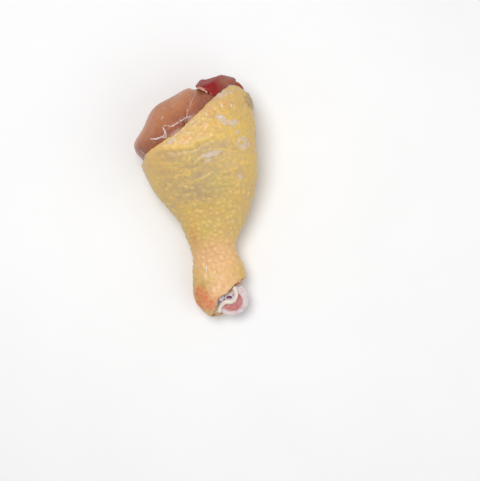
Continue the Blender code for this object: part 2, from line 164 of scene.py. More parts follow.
def lengthsAlong(places):
    return np.concatenate([[0], np.cumsum(np.linalg.norm(np.diff(places, axis=0), axis=1))])


def loft(name, rings, closed):
    # joins rings of points in order, closed into a loop or with each end drawn to its middle
    rings = np.array(rings)
    rows, columns = rings.shape[:2]
    points = rings.reshape(-1, 3)
    row, column = np.mgrid[0:rows if closed else rows - 1, 0:columns]
    here, there = row * columns, (row + 1) % rows * columns
    beside = (column + 1) % columns
    quads = np.stack([here + column, here + beside, there + beside, there + column], axis=-1)
    faces = quads.reshape(-1, 4).tolist()
    if not closed:
        for ring, first, turn in ((rings[0], 0, -1), (rings[-1], (rows - 1) * columns, 1)):
            points = np.vstack([points, ring.mean(axis=0)])
            middle = len(points) - 1
            faces += [(first + c, first + (c + 1) % columns, middle)[::turn] for c in range(columns)]
    mesh = bpy.data.meshes.new(name)
    mesh.from_pydata(points.tolist(), [], faces)
    shape = bmesh.new()
    shape.from_mesh(mesh)
    bmesh.ops.recalc_face_normals(shape, faces=shape.faces)
    shape.to_mesh(mesh)
    shape.free()
    return mesh


def addPiece(name, mesh, material, slot, *nodes):
    piece = bpy.data.objects.new(name, mesh)
    bpy.context.scene.collection.objects.link(piece)
    mesh.materials.append(material)
    mesh.shade_smooth()
    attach(piece, "root")
    if nodes:
        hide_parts(*nodes)
    return piece


def paint(mesh, name, values):
    # one number for each point, which the materials read
    layer = mesh.attributes.new(name, "FLOAT", "POINT")
    layer.data.foreach_set("value", np.ravel(values).astype(np.float32))


def pointsOf(mesh):
    points = np.empty(len(mesh.vertices) * 3, np.float32)
    mesh.vertices.foreach_get("co", points)
    return points.reshape(-1, 3).astype(float)


def grain(points, size, stretch=(1, 1, 1), offset=0.0):
    # soft noise from -1 to 1, size in metres
    scaled = (points / size / np.array(stretch) + offset).reshape(-1, 3)
    return np.array([noise.noise(p) for p in scaled.tolist()]).reshape(points.shape[:-1])


def fromLine(points, line):
    # distance in plan from a line through places in mm
    x, y = points[..., 0], points[..., 1]
    best = np.full(x.shape, 1.0)
    for start, end in zip(line, line[1:]):
        a, b = np.array(start) * mm, np.array(end) * mm
        way = b - a
        share = np.clip(((x - a[0]) * way[0] + (y - a[1]) * way[1]) / (way @ way), 0, 1)
        best = np.minimum(best, np.hypot(x - a[0] - share * way[0], y - a[1] - share * way[1]))
    return best


def dab(points, place, size, turn=0.0, ragged=0.35, seed=0.0, soft=0.35):
    # a soft-edged patch, 1 inside and 0 outside, with a ragged outline
    x, y = points[..., 0] - place[0] * mm, points[..., 1] - place[1] * mm
    c, s = math.cos(math.radians(turn)), math.sin(math.radians(turn))
    reach = np.hypot((x * c + y * s) / (size[0] * mm), (y * c - x * s) / (size[1] * mm))
    near = reach < 2.2
    rough = np.zeros(reach.shape)
    rough[near] = grain(points[near], 1.6 * mm, offset=seed)
    rough[near] += 0.5 * grain(points[near], 0.7 * mm, offset=seed)
    return ease(-(reach + ragged * rough), -0.8 - soft, soft - 1.15) * near


def dabs(points, places, ragged, seed, soft):
    # several patches together, each at its own strength where it has one
    total = np.zeros(len(points))
    for place, size, turn, *strength in places:
        patch = dab(points, place, size, turn, ragged, seed, soft)
        total = np.maximum(total, patch * strength[0] if strength else patch)
    return total


# Materials
def newMaterial(name, roughness, gloss=0.5, flesh=0.0, fleshDepth=(1, 0.4, 0.2), coat=0.0):
    material = bpy.data.materials.new(name)
    material.use_nodes = True
    tree = material.node_tree
    shader = tree.nodes["Principled BSDF"]
    shader.inputs["Roughness"].default_value = roughness
    shader.inputs["Specular IOR Level"].default_value = gloss
    shader.inputs["Subsurface Weight"].default_value = flesh
    shader.inputs["Subsurface Radius"].default_value = fleshDepth
    shader.inputs["Subsurface Scale"].default_value = 1.5 * mm
    shader.inputs["Coat Weight"].default_value = coat
    shader.inputs["Coat Roughness"].default_value = 0.12
    return material, tree, shader


def link(tree, value, socket):
    if isinstance(value, bpy.types.NodeSocket):
        tree.links.new(value, socket)
    elif isinstance(value, tuple):
        socket.default_value = (*value, 1)
    else:
        socket.default_value = value


def texture(tree, size, detail=3.0, stretch=(1, 1, 1), roughness=0.55, kind="ShaderNodeTexNoise"):
    # a procedural texture, size in metres
    place = tree.nodes.new("ShaderNodeTexCoord")
    scale = tree.nodes.new("ShaderNodeMapping")
    scale.inputs["Scale"].default_value = [1 / size / s for s in stretch]
    made = tree.nodes.new(kind)
    made.inputs["Scale"].default_value = 1
    if kind == "ShaderNodeTexNoise":
        made.inputs["Detail"].default_value = detail
        made.inputs["Roughness"].default_value = roughness
    tree.links.new(place.outputs["Object"], scale.inputs["Vector"])
    tree.links.new(scale.outputs["Vector"], made.inputs["Vector"])
    return made.outputs[0]


def span(tree, value, low, high, toLow=0.0, toHigh=1.0):
    made = tree.nodes.new("ShaderNodeMapRange")
    made.interpolation_type = "SMOOTHSTEP"
    for socket, number in zip(("From Min", "From Max", "To Min", "To Max"), (low, high, toLow, toHigh)):
        made.inputs[socket].default_value = number
    tree.links.new(value, made.inputs["Value"])
    return made.outputs["Result"]


def painted(tree, name):
    made = tree.nodes.new("ShaderNodeAttribute")
    made.attribute_name = name
    return made.outputs["Fac"]


def sums(tree, operation, first, second):
    made = tree.nodes.new("ShaderNodeMath")
    made.operation = operation
    link(tree, first, made.inputs[0])
    link(tree, second, made.inputs[1])
    return made.outputs[0]


def blended(tree, share, first, second):
    made = tree.nodes.new("ShaderNodeMix")
    made.data_type = "RGBA"
    link(tree, share, made.inputs["Factor"])
    link(tree, first, made.inputs["A"])
    link(tree, second, made.inputs["B"])
    return made.outputs["Result"]


def finishMaterial(tree, shader, colour, rough, *layers):
    # each layer is a height, its depth in metres and its strength
    link(tree, colour, shader.inputs["Base Color"])
    link(tree, rough, shader.inputs["Roughness"])
    normal = None
    for height, depth, strength in layers:
        made = tree.nodes.new("ShaderNodeBump")
        made.inputs["Distance"].default_value = depth
        made.inputs["Strength"].default_value = strength
        tree.links.new(height, made.inputs["Height"])
        if normal:
            tree.links.new(normal, made.inputs["Normal"])
        normal = made.outputs["Normal"]
    tree.links.new(normal, shader.inputs["Normal"])


# The skin
# places in mm on the leg seen from above, sizes in mm
skin = {
    "columns": 320,
    "rows": 262,
    "innerRows": 24,
    "rimRows": 5,
    "edge": 0.5 * mm,
    "pimpleSpacing": 3.3 * mm,
    "pimpleRadius": 1.15 * mm,
    "pimpleHeight": 0.6 * mm,
    "pimpleMoat": 0.16 * mm,
    "ridgeHeight": 0.45 * mm,
    "ridgeWidth": 0.45 * mm,
    "threadHeight": 0.26 * mm,
    "bumpHeight": 0.55 * mm,
    "bumpWidth": 1.25 * mm,
    "stepDepth": 0.3 * mm,  # the step below the row of bumps
    "stepWidth": 0.9 * mm,
    # dark brown for the skin's own darker specks, and for painted shade in the creases
    "creaseShadeAndSpecks": (0.42, 0.24, 0.08),
    "hemPlace": 1.9 * mm,
    "hemHeight": 0.35 * mm,
    "ochre": (0.66, 0.44, 0.13),
    "beige": (0.57, 0.39, 0.19),
    "fatYellow": (0.78, 0.53, 0.13),
    "orange": (0.78, 0.42, 0.17),
    "red": (0.68, 0.12, 0.05),
    "peach": (0.80, 0.47, 0.24),
    "green": (0.52, 0.45, 0.12),
    "film": (0.62, 0.50, 0.39),
    "filmGlint": (0.78, 0.70, 0.70),
    # paler yellow on the pimple tops: partly the paler fat, partly a painted highlight
    "pimpleFatAndHighlight": (0.74, 0.55, 0.20),
    "brown": (0.40, 0.20, 0.10),
    "ridges": [
        [(-4.3, 23.8), (-3.9, 20.9), (-4.9, 17.7)],
        [(2.9, 21.7), (6.6, 22.3), (10.7, 21.9), (16.1, 20.8)],
        [(9.4, 21.9), (8.3, 17.8)],
        [(5.5, 11.4), (2.0, 9.8), (-1.5, 9.4)],
        [(6.2, 11.3), (8.3, 7.5)],
        [(10.5, 10.2), (14.0, 10.9), (17.4, 11.8)],
        [(-10.3, 7.5), (-5.2, 5.4)],
        [(-18.9, 12.0), (-15.8, 8.0), (-13.4, 5.0)],
        [(3.0, 21.6), (1.4, 18.8), (-2.6, 16.6)],
    ],
    "bumps": [(-15.2, 26.8), (-11.5, 26.0), (-7.9, 25.9), (-4.6, 25.4), (-1.6, 25.3), (2.1, 27.1),
              (5.6, 28.0), (8.7, 29.0), (11.4, 27.7), (13.8, 27.6)],
    "films": [  # place, half sizes, turn
        ((15.9, 48.6), (3.1, 1.5), 38),
        ((19.2, 48.4), (1.4, 0.6), 0),
        ((21.4, 52.6), (2.0, 0.7), 8),
        ((14.4, 35.8), (4.4, 1.5), -40),
        ((19.2, 33.4), (2.6, 1.9), 10),
        ((20.6, 28.8), (1.1, 0.9), 0),
        ((22.6, 23.6), (2.5, 3.2), 0),
        ((6.6, 20.2), (4.6, 1.4), 8),
        ((4.3, 17.4), (1.8, 0.7), 10),
        ((-11.4, 29.4), (2.2, 0.8), 35),
        ((18.5, 8.0), (0.8, 1.4), 20),
    ],
    "filmHole": ((21.6, 23.8), (1.0, 1.3), 0),
    "oranges": [((12.3, 34.0), (3.2, 1.8), 10), ((9.6, 41.0), (2.6, 2.2), 30), ((4.3, 32.4), (4.0, 2.6), 25),
                ((16.0, 42.6), (4.5, 1.8), 10), ((-6.0, 28.5), (5.0, 2.0), 20)],
    "greens": [((7.2, 5.7), (6.5, 5.0), 0), ((-1.6, -16.0), (4.0, 4.5), 60), ((-3.8, -22.3), (2.4, 3.5), 0)],
    "reds": [  # place, half sizes, turn, strength
        ((-11.6, -45.6), (3.2, 3.2), 0, 1.0),
        ((-9.8, -49.4), (3.8, 4.0), 20, 1.0),
        ((-12.6, -52.2), (3.4, 3.4), 0, 1.0),
        ((-6.6, -52.4), (3.8, 3.0), 0, 0.9),
        ((-7.2, -12.6), (0.8, 3.4), 0, 0.3),
        ((-9.4, -18.5), (1.8, 5.0), 0, 0.35),
    ],
    "shades": [((-2.0, 10.0), (15.0, 11.0), 0), ((2.0, 20.5), (14.0, 5.0), 5),
               ((-9.0, 22.0), (9.0, 3.2), 0)],
    "shade": (0.41, 0.31, 0.18),
    "peaches": [((2.4, -42.4), (7.5, 5.0), 30), ((-2.0, -47.5), (5.5, 5.5), 60),
                ((0.0, -30.0), (13.0, 9.0), 0), ((-6.0, -52.0), (4.0, 4.5), 0)],
    # the fold at the knee: partly its own olive-brown, partly painted shadow along its low side
    "foldColourAndShade": ((30.6, 46.0), (3.4, 6.5), 0),
    "fold": (0.36, 0.21, 0.07),
    "mole": ((11.2, 19.8), (0.5, 0.45), 0),
}


def pimplePlaces():
    # staggered rows round the leg, a little out of line
    draw = np.random.RandomState(23)
    places = []
    spacing = skin["pimpleSpacing"]
    for row, y in enumerate(np.arange(-57 * mm, 53 * mm, spacing * 0.86)):
        girth = 2 * math.pi * float(legRadius(np.array([y]), np.array([1.57]))[0])
        count = max(8, round(girth / spacing))
        for k in range(count):
            angle = 2 * math.pi * (k + 0.5 * (row % 2) + draw.uniform(-0.3, 0.3)) / count
            places.append((y + draw.uniform(-0.3, 0.3) * spacing, angle, draw.uniform(0.6, 1.15)))
    return np.array(places)


def skinRelief(points, angle, fromKnee):
    # heights of the outer skin, and how fat, domed and near the hem each place is
    y = points[..., 1]
    up = np.sin(angle)
    pimply = 0.25 + 0.75 * ease(-y, -14 * mm, 2 * mm) * ease(y, -44 * mm, -30 * mm)
    pimply += 0.35 * ease(y, 20 * mm, 32 * mm)
    dome = np.zeros(y.shape)
    places = pimplePlaces()
    centres = legPoints(places[:, 0], places[:, 1], 0)
    moat = np.zeros(y.shape)
    flat, tall, low = points.reshape(-1, 3), dome.reshape(-1), moat.reshape(-1)
    for centre, (_, _, size) in zip(centres, places):
        close = np.flatnonzero(np.abs(flat[:, 1] - centre[1]) < 2.4 * mm)
        away = np.linalg.norm(flat[close] - centre, axis=1) / (skin["pimpleRadius"] * size)
        rise = np.exp(-(away**2.1)) - 0.2 * np.exp(-((away / 0.22) ** 2))
        tall[close] = np.maximum(tall[close], rise * size)
        low[close] = np.maximum(low[close], np.exp(-(((away - 1.45) / 0.35) ** 2)) * size)
    relief = (skin["pimpleHeight"] * dome - skin["pimpleMoat"] * moat * ease(-dome, -0.5, -0.1)) * pimply
    fat = 0.1 * dome * pimply

    top = up > 0
    for line in skin["ridges"]:
        ridge = np.exp(-((fromLine(points, line) / skin["ridgeWidth"]) ** 2)) * top
        ridge = ridge * (0.6 + 0.5 * grain(points, 1.5 * mm))
        relief = relief + skin["ridgeHeight"] * ridge
        fat = np.maximum(fat, ridge)
    for place in skin["bumps"]:
        away = np.hypot(points[..., 0] - place[0] * mm, y - place[1] * mm)
        bump = np.exp(-((away / skin["bumpWidth"]) ** 2)) * top
        relief = relief + skin["bumpHeight"] * bump
        fat = np.maximum(fat, 0.9 * bump)

    below = [(x, y0 - 1.9) for x, y0 in skin["bumps"]]
    step = np.exp(-((fromLine(points, below) / skin["stepWidth"]) ** 2)) * top
    relief = relief - skin["stepDepth"] * step * (0.7 + 0.6 * grain(points, 3 * mm, offset=17.0))

    # wrinkles that follow the stretch of the skin round the leg, and slack folds at both ends
    stretched = grain(points, 1.5 * mm, (3.5, 0.7, 3.5))
    slack = grain(points, 3.2 * mm, (1.0, 1.6, 1.0), 4.0)
    near = ease(-fromKnee, -13 * mm, -2 * mm)
    course = grain(points, 6.0 * mm, (1.3, 0.9, 1.3), 12.0) + 0.35 * grain(points, 2.2 * mm, offset=13.0)
    thread = np.exp(-((course / 0.06) ** 2)) * ease(grain(points, 9 * mm, offset=14.0), -0.1, 0.25)
    thread = thread * ease(y, -6 * mm, 3 * mm) * ease(fromKnee, 5 * mm, 9 * mm)
    relief = relief + skin["threadHeight"] * thread
    fat = np.maximum(fat, 0.85 * thread)
    wrinkle = 1 - np.abs(grain(points, 4.2 * mm, (1.8, 0.8, 1.8), 9.0)) * 3
    relief = relief + 0.09 * mm * stretched + 0.30 * mm * slack * (0.25 + 0.75 * near)
    relief = relief + 0.14 * mm * np.clip(wrinkle, 0, 1) * (0.4 + 0.6 * ease(y, -2 * mm, 10 * mm))
    ankle = ease(-y, 33 * mm, 43 * mm)
    relief = relief + 0.30 * mm * ankle * grain(points, 2.4 * mm, (1, 1.8, 1), 2.0)
    # the rolled hem near the cut edge, raised here and given a painted highlight in the material
    hem = np.exp(-(((fromKnee - skin["hemPlace"]) / (0.55 * mm)) ** 2))
    relief = relief + skin["hemHeight"] * hem * (0.7 + 0.5 * grain(points, 2.5 * mm, offset=7.0))
    fat = np.clip(fat + 0.35 * np.clip(wrinkle, 0, 1) * ease(y, 0, 10 * mm), 0, 1)
    return relief, fat, dome * pimply, hem


def skinPiece():
    angle = fullTurn(skin["columns"])
    edgePoints = np.stack([np.cos(angle), np.sin(angle), angle * 0], axis=-1)
    ragged = 0.45 * mm * grain(edgePoints, 0.09) + 0.25 * mm * grain(edgePoints, 0.035, offset=3.0)
    ankle = around(ankleCut, angle) + ragged * 0.8
    knee = around(kneeCut, angle) + ragged
    rows = np.linspace(0, 1, skin["rows"])[:, None]
    y = ankle + (knee - ankle) * rows
    plain = legPoints(y, angle, 0)
    fromKnee = knee - y
    relief, fat, dome, hem = skinRelief(plain, angle[None, :], fromKnee)
    relief = relief * ease(fromKnee, 0, 0.8 * mm) * ease(y - ankle, 0, 0.8 * mm)
    outside = legPoints(y, angle, 0, np.clip(relief, -0.5 * mm, 0.9 * mm))
    thick = leg["skinThickness"]
    inner = np.linspace(1, 0, skin["innerRows"])[:, None]
    thin = leg["ankleThickness"]
    fromAnkle = (knee - ankle) * inner
    depth = thin + (thick - thin) * ease(fromAnkle, 0, leg["ankleThinning"])
    inside = legPoints(ankle + fromAnkle, angle, depth)
    turns = np.linspace(0, math.pi, skin["rimRows"] + 2)[1:-1, None]
    rim = 0.5 * (1 - np.cos(turns))
    kneeRim = legPoints(knee + skin["edge"] * np.sin(turns), angle, thick * rim)
    ankleRim = legPoints(ankle - skin["edge"] * np.sin(turns[::-1]), angle, thin * rim[::-1])
    mesh = loft("skin_sleeve", np.concatenate([outside, kneeRim, inside, ankleRim]), closed=True)

    points = pointsOf(mesh)
    count = plain.shape[0] * plain.shape[1]

    def whole(values):
        full = np.zeros(len(points))
        full[:count] = np.ravel(values)
        return full

    above = points[:, 2] > 14 * mm
    film = np.zeros(len(points))
    for seed, (place, size, turn) in enumerate(skin["films"]):
        film = np.maximum(film, dab(points, place, size, turn, 0.5, seed * 3.1) * above)
    orange = dabs(points, skin["oranges"], 0.6, 6.0, 0.7) * above
    nearKnee = whole(ease(-fromKnee, -15 * mm, -4 * mm))
    paint(mesh, "shaded", dabs(points, skin["shades"], 0.5, 9.0, 0.8) * above)
    paint(mesh, "fat", whole(fat))
    # the pimple tops, painted paler in the material: partly paler fat, partly a painted highlight
    paint(mesh, "dome", whole(np.clip(dome, 0, 1)))
    paint(mesh, "deep", whole(np.maximum(ease(-y, -3 * mm, 5 * mm), ease(np.abs(np.cos(angle)), 0.6, 0.95))))
    paint(mesh, "film", film * (1 - dab(points, *skin["filmHole"])))
    paint(mesh, "flush", dabs(points, skin["reds"], 0.5, 5.0, 0.8))
    paint(mesh, "tint", dabs(points, skin["greens"], 0.4, 8.0, 0.8) * above)
    paint(mesh, "peach", dabs(points, skin["peaches"], 0.5, 2.0, 0.8))
    paint(mesh, "orange", np.maximum(orange, 0.35 * nearKnee))
    # the band along the rolled hem, painted in the pale film colour as a painted highlight along the top of
    # the roll
    paint(mesh, "hem", whole(hem))
    # painted shade: darker brown where the relief sinks, in the creases and the moats round the pimples
    paint(mesh, "creaseShadeAndSpecks", whole(ease(-relief, 0.02 * mm, 0.24 * mm)))
    # olive-brown of the fold, darkened as painted shadow along its low side
    paint(mesh, "fold", dab(points, *skin["foldColourAndShade"], ragged=0.3) * (points[:, 2] < 34 * mm))
    paint(mesh, "mole", dab(points, *skin["mole"], ragged=0.1) * above)
    addPiece("skin_sleeve", mesh, skinMaterial(), "skin", "skin")
    print("skin:", len(mesh.polygons), "faces")


def skinMaterial():
    material, tree, shader = newMaterial("chicken skin", 0.42, 0.45, 0.22, (1.0, 0.55, 0.25), 0.07)
    broad = texture(tree, 14 * mm, 2)
    cloudy = texture(tree, 3.5 * mm, 4, (1.6, 1, 1.6))
    fine = texture(tree, 0.7 * mm, 4)
    streaks = texture(tree, 1.6 * mm, 4, (3.2, 0.7, 3.2))
    colour = blended(tree, span(tree, broad, 0.38, 0.62), skin["beige"], skin["ochre"])
    colour = blended(tree, span(tree, cloudy, 0.38, 0.66, 0, 0.65), colour, skin["fatYellow"])
    colour = blended(tree, span(tree, streaks, 0.45, 0.66, 0, 0.5), colour, skin["beige"])
    mottled = span(tree, texture(tree, 1.3 * mm, 4), 0.32, 0.66, 0.35, 1.0)
    for name, shade, most, broken in (  # painted layer, colour, how much of it, what breaks it up
        ("deep", "ochre", 0.55, 1.0),
        ("shaded", "shade", 0.75, 1.0),
        # paler fat and painted highlight on the pimple tops
        ("dome", "pimpleFatAndHighlight", 0.55, 1.0),
        ("orange", "orange", 0.75, mottled),
        ("tint", "green", 0.4, mottled),
        ("peach", "peach", 0.85, 1.0),
        # the fold's own olive-brown with painted shadow
        ("fold", "fold", 0.85, 1.0),
        ("fat", "fatYellow", 0.8, 1.0),
        ("flush", "red", 0.9, mottled),
        ("film", "film", 0.8, 1.0),
        # painted highlight along the top of the rolled hem
        ("hem", "film", 0.35, 1.0),
        ("mole", "brown", 1.0, 1.0),
    ):
        share = sums(tree, "MULTIPLY", sums(tree, "MULTIPLY", painted(tree, name), most), broken)
        colour = blended(tree, share, colour, skin[shade])
    glints = sums(tree, "MULTIPLY", painted(tree, "film"), span(tree, streaks, 0.55, 0.7, 0, 0.8))
    colour = blended(tree, glints, colour, skin["filmGlint"])
    # fine darker specks of the skin's own, in the dark brown that also paints the crease shade
    specks = texture(tree, 0.9 * mm, 3)
    colour = blended(tree, span(tree, specks, 0.52, 0.72, 0, 0.3), colour, skin["creaseShadeAndSpecks"])
    # painted shade in the creases of the relief
    creaseShadeShare = sums(tree, "MULTIPLY", painted(tree, "creaseShadeAndSpecks"), 0.4)
    colour = blended(tree, creaseShadeShare, colour, skin["creaseShadeAndSpecks"])
    wet = span(tree, cloudy, 0.3, 0.7, 0.33, 0.52)
    finishMaterial(tree, shader, colour, wet, (cloudy, 0.25 * mm, 0.35), (streaks, 0.14 * mm, 0.4),
                   (fine, 0.06 * mm, 0.4))
    return material


# The muscles
muscles = {
    "segments": 110,
    "rings": 60,
    "capRings": 34,
    "startCapRings": 8,
    "startCap": 4 * mm,
    "endShare": 0.25,
    "twistStart": 47 * mm,
    "twistFull": 57 * mm,
    "seamGap": 0.03 * mm,
    "rounding": 0.2 * mm,
    "bulgeStart": 2 * mm,
    "bulgeLength": 6 * mm,
    "bulgeInset": 0.2 * mm,
    "longestRay": 60 * mm,
    "halvings": 22,
    "fibreDepth": 0.14 * mm,
    "pushes": [  # place, reach, push, where the end of the meat is dented or drawn out
        ((-26.5, 41.6), 8.0, (1.6, -1.3)),
        ((-9.2, 54.4), 9.0, (0.9, -1.8)),
        ((8.0, 60.0), 5.5, (0.0, -2.6)),
        ((4.0, 57.0), 2.6, (-0.7, -0.5)),
        ((17.2, 57.4), 2.3, (0.0, 1.3)),
        ((22.8, 54.8), 3.4, (0.6, 1.6)),
        ((25.5, 53.0), 4.0, (1.8, 2.2)),
    ],
    "strip": [(20.4, 55.0, 28), (22.2, 54.2, 27), (24.2, 53.2, 26), (25.8, 51.8, 25), (27.0, 50.4, 24)],
    "stripSize": (1.6 * mm, 1.8 * mm),
    "shapes": {
        "calf_muscle": ((121, 206), (121, 206), -20, (2.0, 16.0, 22.0), (37.0, 41.0, 27.0)),
        "middle_muscle": ((86, 121), (116, 121), -19, (3.0, 22.0, 25.0), (30.0, 34.5, 26.0)),
        "red_muscle": ((18, 86), (18, 116), -18, (15.5, 38.0, 29.0), (19.0, 26.0, 17.0)),
        "shin_muscle": ((-82, 18), (-82, 18), -19, (10.0, 18.0, 21.0), (24.0, 37.5, 25.0)),
        "under_muscle": ((206, 278), (206, 278), -17, (0.0, 14.0, 23.0), (31.0, 40.0, 32.0)),
    },
    "pink": (0.50, 0.185, 0.075),
    "brown": (0.30, 0.095, 0.052),
    "darkRed": (0.27, 0.010, 0.010),
    "darkBrown": (0.34, 0.10, 0.062),
    "silver": (0.80, 0.66, 0.60),
}

# The shin bone and the ankle joint, in mm
bone = {
    "y": (-52, -44, -26, 0, 25, 36, 43, 47, 49.4),
    "x": (4.5, 3.2, 0.9, 2.2, 5.8, 8.2, 9.6, 10.0, 10.2),
    "z": (10.2, 10.0, 11.0, 15.5, 20.0, 22.0, 23.0, 23.2, 23.2),
    "radius": (4.4, 4.2, 3.7, 3.8, 4.4, 5.4, 7.0, 7.4, 5.8),
    "flatness": 0.92,
    "segments": 64,
    "rings": 90,
    "capStart": 43.5 * mm,
    "capRim": 47.0 * mm,
    "capEnd": 51.4 * mm,
    "capRadius": 9.0 * mm,
    "capLip": 0.9 * mm,
    "capSquareness": 0.7,
    "dishDepth": 1.0 * mm,
    "dishRadius": 3.4 * mm,
    "marrowRed": (0.50, 0.05, 0.05),
    "marrowPink": (0.58, 0.19, 0.19),
    "boneWhite": (0.72, 0.60, 0.52),
}
boneY, boneX, boneZ, boneRadius = (np.array(bone[k]) * mm for k in ("y", "x", "z", "radius"))


def boneAxis(y):
    return through(boneY, boneX, y), through(boneY, boneZ, y)


def seamAngle(alongCalf, atKnee, y):
    turned = ease(y, muscles["twistStart"], muscles["twistFull"])
    return np.radians(alongCalf + (atKnee - alongCalf) * turned)


def muscleField(points, low, high, endCentre, endSize):
    # roughly the distance outside a muscle, which fills its sector between bone and skin
    x, y, z = points[..., 0], points[..., 1], points[..., 2]
    up = z - axisHeight(y)
    angle = np.arctan2(up, x)
    past = y - around(kneeCut, angle) - muscles["bulgeStart"]
    bare = ease(past, 0, muscles["bulgeLength"])
    under = leg["skinThickness"] + leg["skinGap"]
    inset = under * (1 - bare) + muscles["bulgeInset"] * bare
    outer = np.hypot(x, up) - (legRadius(y, angle) - inset)
    axisX, axisZ = boneAxis(y)
    cap = bone["capRadius"] * ease(y, bone["capStart"] - 11 * mm, bone["capStart"] - 4 * mm)
    filled = np.maximum(through(boneY, boneRadius, y), cap)
    clear = filled + leg["boneGap"] - np.hypot(x - axisX, z - axisZ)
    first, last = seamAngle(*low, y), seamAngle(*high, y)
    pastLow = (x - axisX) * np.sin(first) - (z - axisZ) * np.cos(first) + muscles["seamGap"]
    pastHigh = (z - axisZ) * np.cos(last) - (x - axisX) * np.sin(last) + muscles["seamGap"]
    centre, size = np.array(endCentre) * mm, np.array(endSize) * mm
    reach = np.linalg.norm((points - centre) / size, axis=-1)
    away = np.linalg.norm(points - centre, axis=-1)
    end = np.where(y > centre[1], away * (1 - 1 / np.maximum(reach, 0.05)), -away)
    parts = np.stack([outer, under - z, clear, pastLow, pastHigh, end]) / muscles["rounding"]
    return muscles["rounding"] * np.log(np.exp(np.clip(parts, -40, 40)).sum(axis=0))


def muscleMesh(name, calfBounds, kneeBounds, start, endCentre, endSize):
    low, high = zip(calfBounds, kneeBounds)
    startY = start * mm
    angle = fullTurn(muscles["segments"])

    def field(points):
        return np.maximum(muscleField(points, low, high, endCentre, endSize), startY - points[..., 1])

    def aboutBone(turned, out, y):
        axisX, axisZ = boneAxis(y)
        x, z = axisX + out * np.cos(turned), axisZ + out * np.sin(turned)
        return np.stack([x, np.broadcast_to(y, x.shape), z], axis=-1)

    def across(y):
        middle = (seamAngle(*low, y) + seamAngle(*high, y)) / 2
        out = np.linspace(0, muscles["longestRay"], 240)
        inside = out[field(aboutBone(middle, out, y)) < 0]
        return (middle, inside.mean(), np.ptp(inside)) if len(inside) else (middle, 0, 0)

    def ring(y, tip):
        middle, out, _ = across(y)
        flat, upLeg = math.cos(tip), math.sin(tip)

        def place(reach):
            turned = np.clip(reach * np.cos(angle) * flat / out, -math.pi, math.pi)
            return aboutBone(middle + turned, out + reach * np.sin(angle) * flat, y + reach * upLeg)

        near, far = 0.0, muscles["longestRay"]
        for _ in range(muscles["halvings"]):
            halfway = (near + far) / 2
            outside = field(place(halfway)) > 0
            far = np.where(outside, halfway, far)
            near = np.where(outside, near, halfway)
        return place(near)

    firstY = startY + muscles["startCap"]
    stations = np.linspace(firstY, stationY[-1], 80)
    depth = np.array([across(y)[2] for y in stations])
    lastY = stations[depth > muscles["endShare"] * depth.max()][-1]
    startTips = np.linspace(0, math.pi / 2, muscles["startCapRings"], endpoint=False)[1:]
    endTips = np.linspace(0, math.pi / 2, muscles["capRings"], endpoint=False)[1:]
    rings = [ring(firstY, -tip) for tip in startTips[::-1]]
    rings += [ring(y, 0) for y in np.linspace(firstY, lastY, muscles["rings"])]
    rings += [ring(lastY, tip) for tip in endTips]
    return loft(name, rings, closed=False)


# Strands of membrane that lie on the bare meat
membrane = {
    "flatness": 0.4,
    "step": 0.25 * mm,
    "strands": [  # half width, gaps, colour, places in mm seen from above
        (0.34, 0.7, "white", [(-14.5, 36.8), (-13.3, 37.5), (-12.1, 37.2), (-10.2, 36.4), (-8.4, 36.9),
                              (-6.2, 37.9), (-4.6, 38.6), (-2.7, 39.3), (-0.1, 39.9)]),
        (0.26, 0.8, "white", [(-7.0, 38.4), (-4.6, 39.4), (-3.0, 39.6)]),
        (0.44, 0.3, "white", [(-14.6, 36.9), (-14.2, 35.3), (-13.9, 34.1), (-14.3, 33.3), (-15.5, 32.4),
                              (-17.0, 32.1), (-18.9, 31.9), (-21.9, 32.5)]),
        (0.75, 0.2, "sheer", [(-13.9, 34.0), (-13.9, 32.6), (-13.6, 31.2)]),
        (0.5, 0.5, "sheer", [(-16.6, 32.6), (-15.2, 32.0), (-13.4, 31.3)]),
        (0.24, 0.1, "sheer", [(4.4, 52.5), (3.1, 49.8), (1.5, 47.5), (-0.1, 44.3), (-1.9, 41.1),
                              (-3.4, 38.0), (-4.8, 36.0)]),
        (0.24, 0.5, "white", [(-13.5, 42.6), (-15.2, 40.8)]),
        (0.22, 0.4, "sheer", [(-18.0, 39.6), (-19.5, 38.7)]),
        (0.20, 0.3, "sheer", [(-13.7, 47.7), (-12.3, 45.6)]),
        (0.26, 0.3, "sheer", [(-6.4, 47.8), (-9.4, 46.1)]),
        (0.26, 0.2, "white", [(-28.2, 28.8), (-27.0, 27.1), (-25.9, 25.3)]),
        (0.30, 0.5, "sheer", [(-28.7, 33.4), (-29.2, 32.2)]),
        (0.24, 0.5, "sheer", [(-20.9, 31.0), (-19.2, 30.3)]),
        (0.62, 0.0, "pink", [(3.2, 53.7), (5.6, 53.1), (8.4, 51.0), (10.6, 48.7), (11.2, 47.6)]),
    ],
    "white": (0.80, 0.66, 0.62),
    "sheer": (0.62, 0.36, 0.28),
    "pink": (0.60, 0.27, 0.19),
}


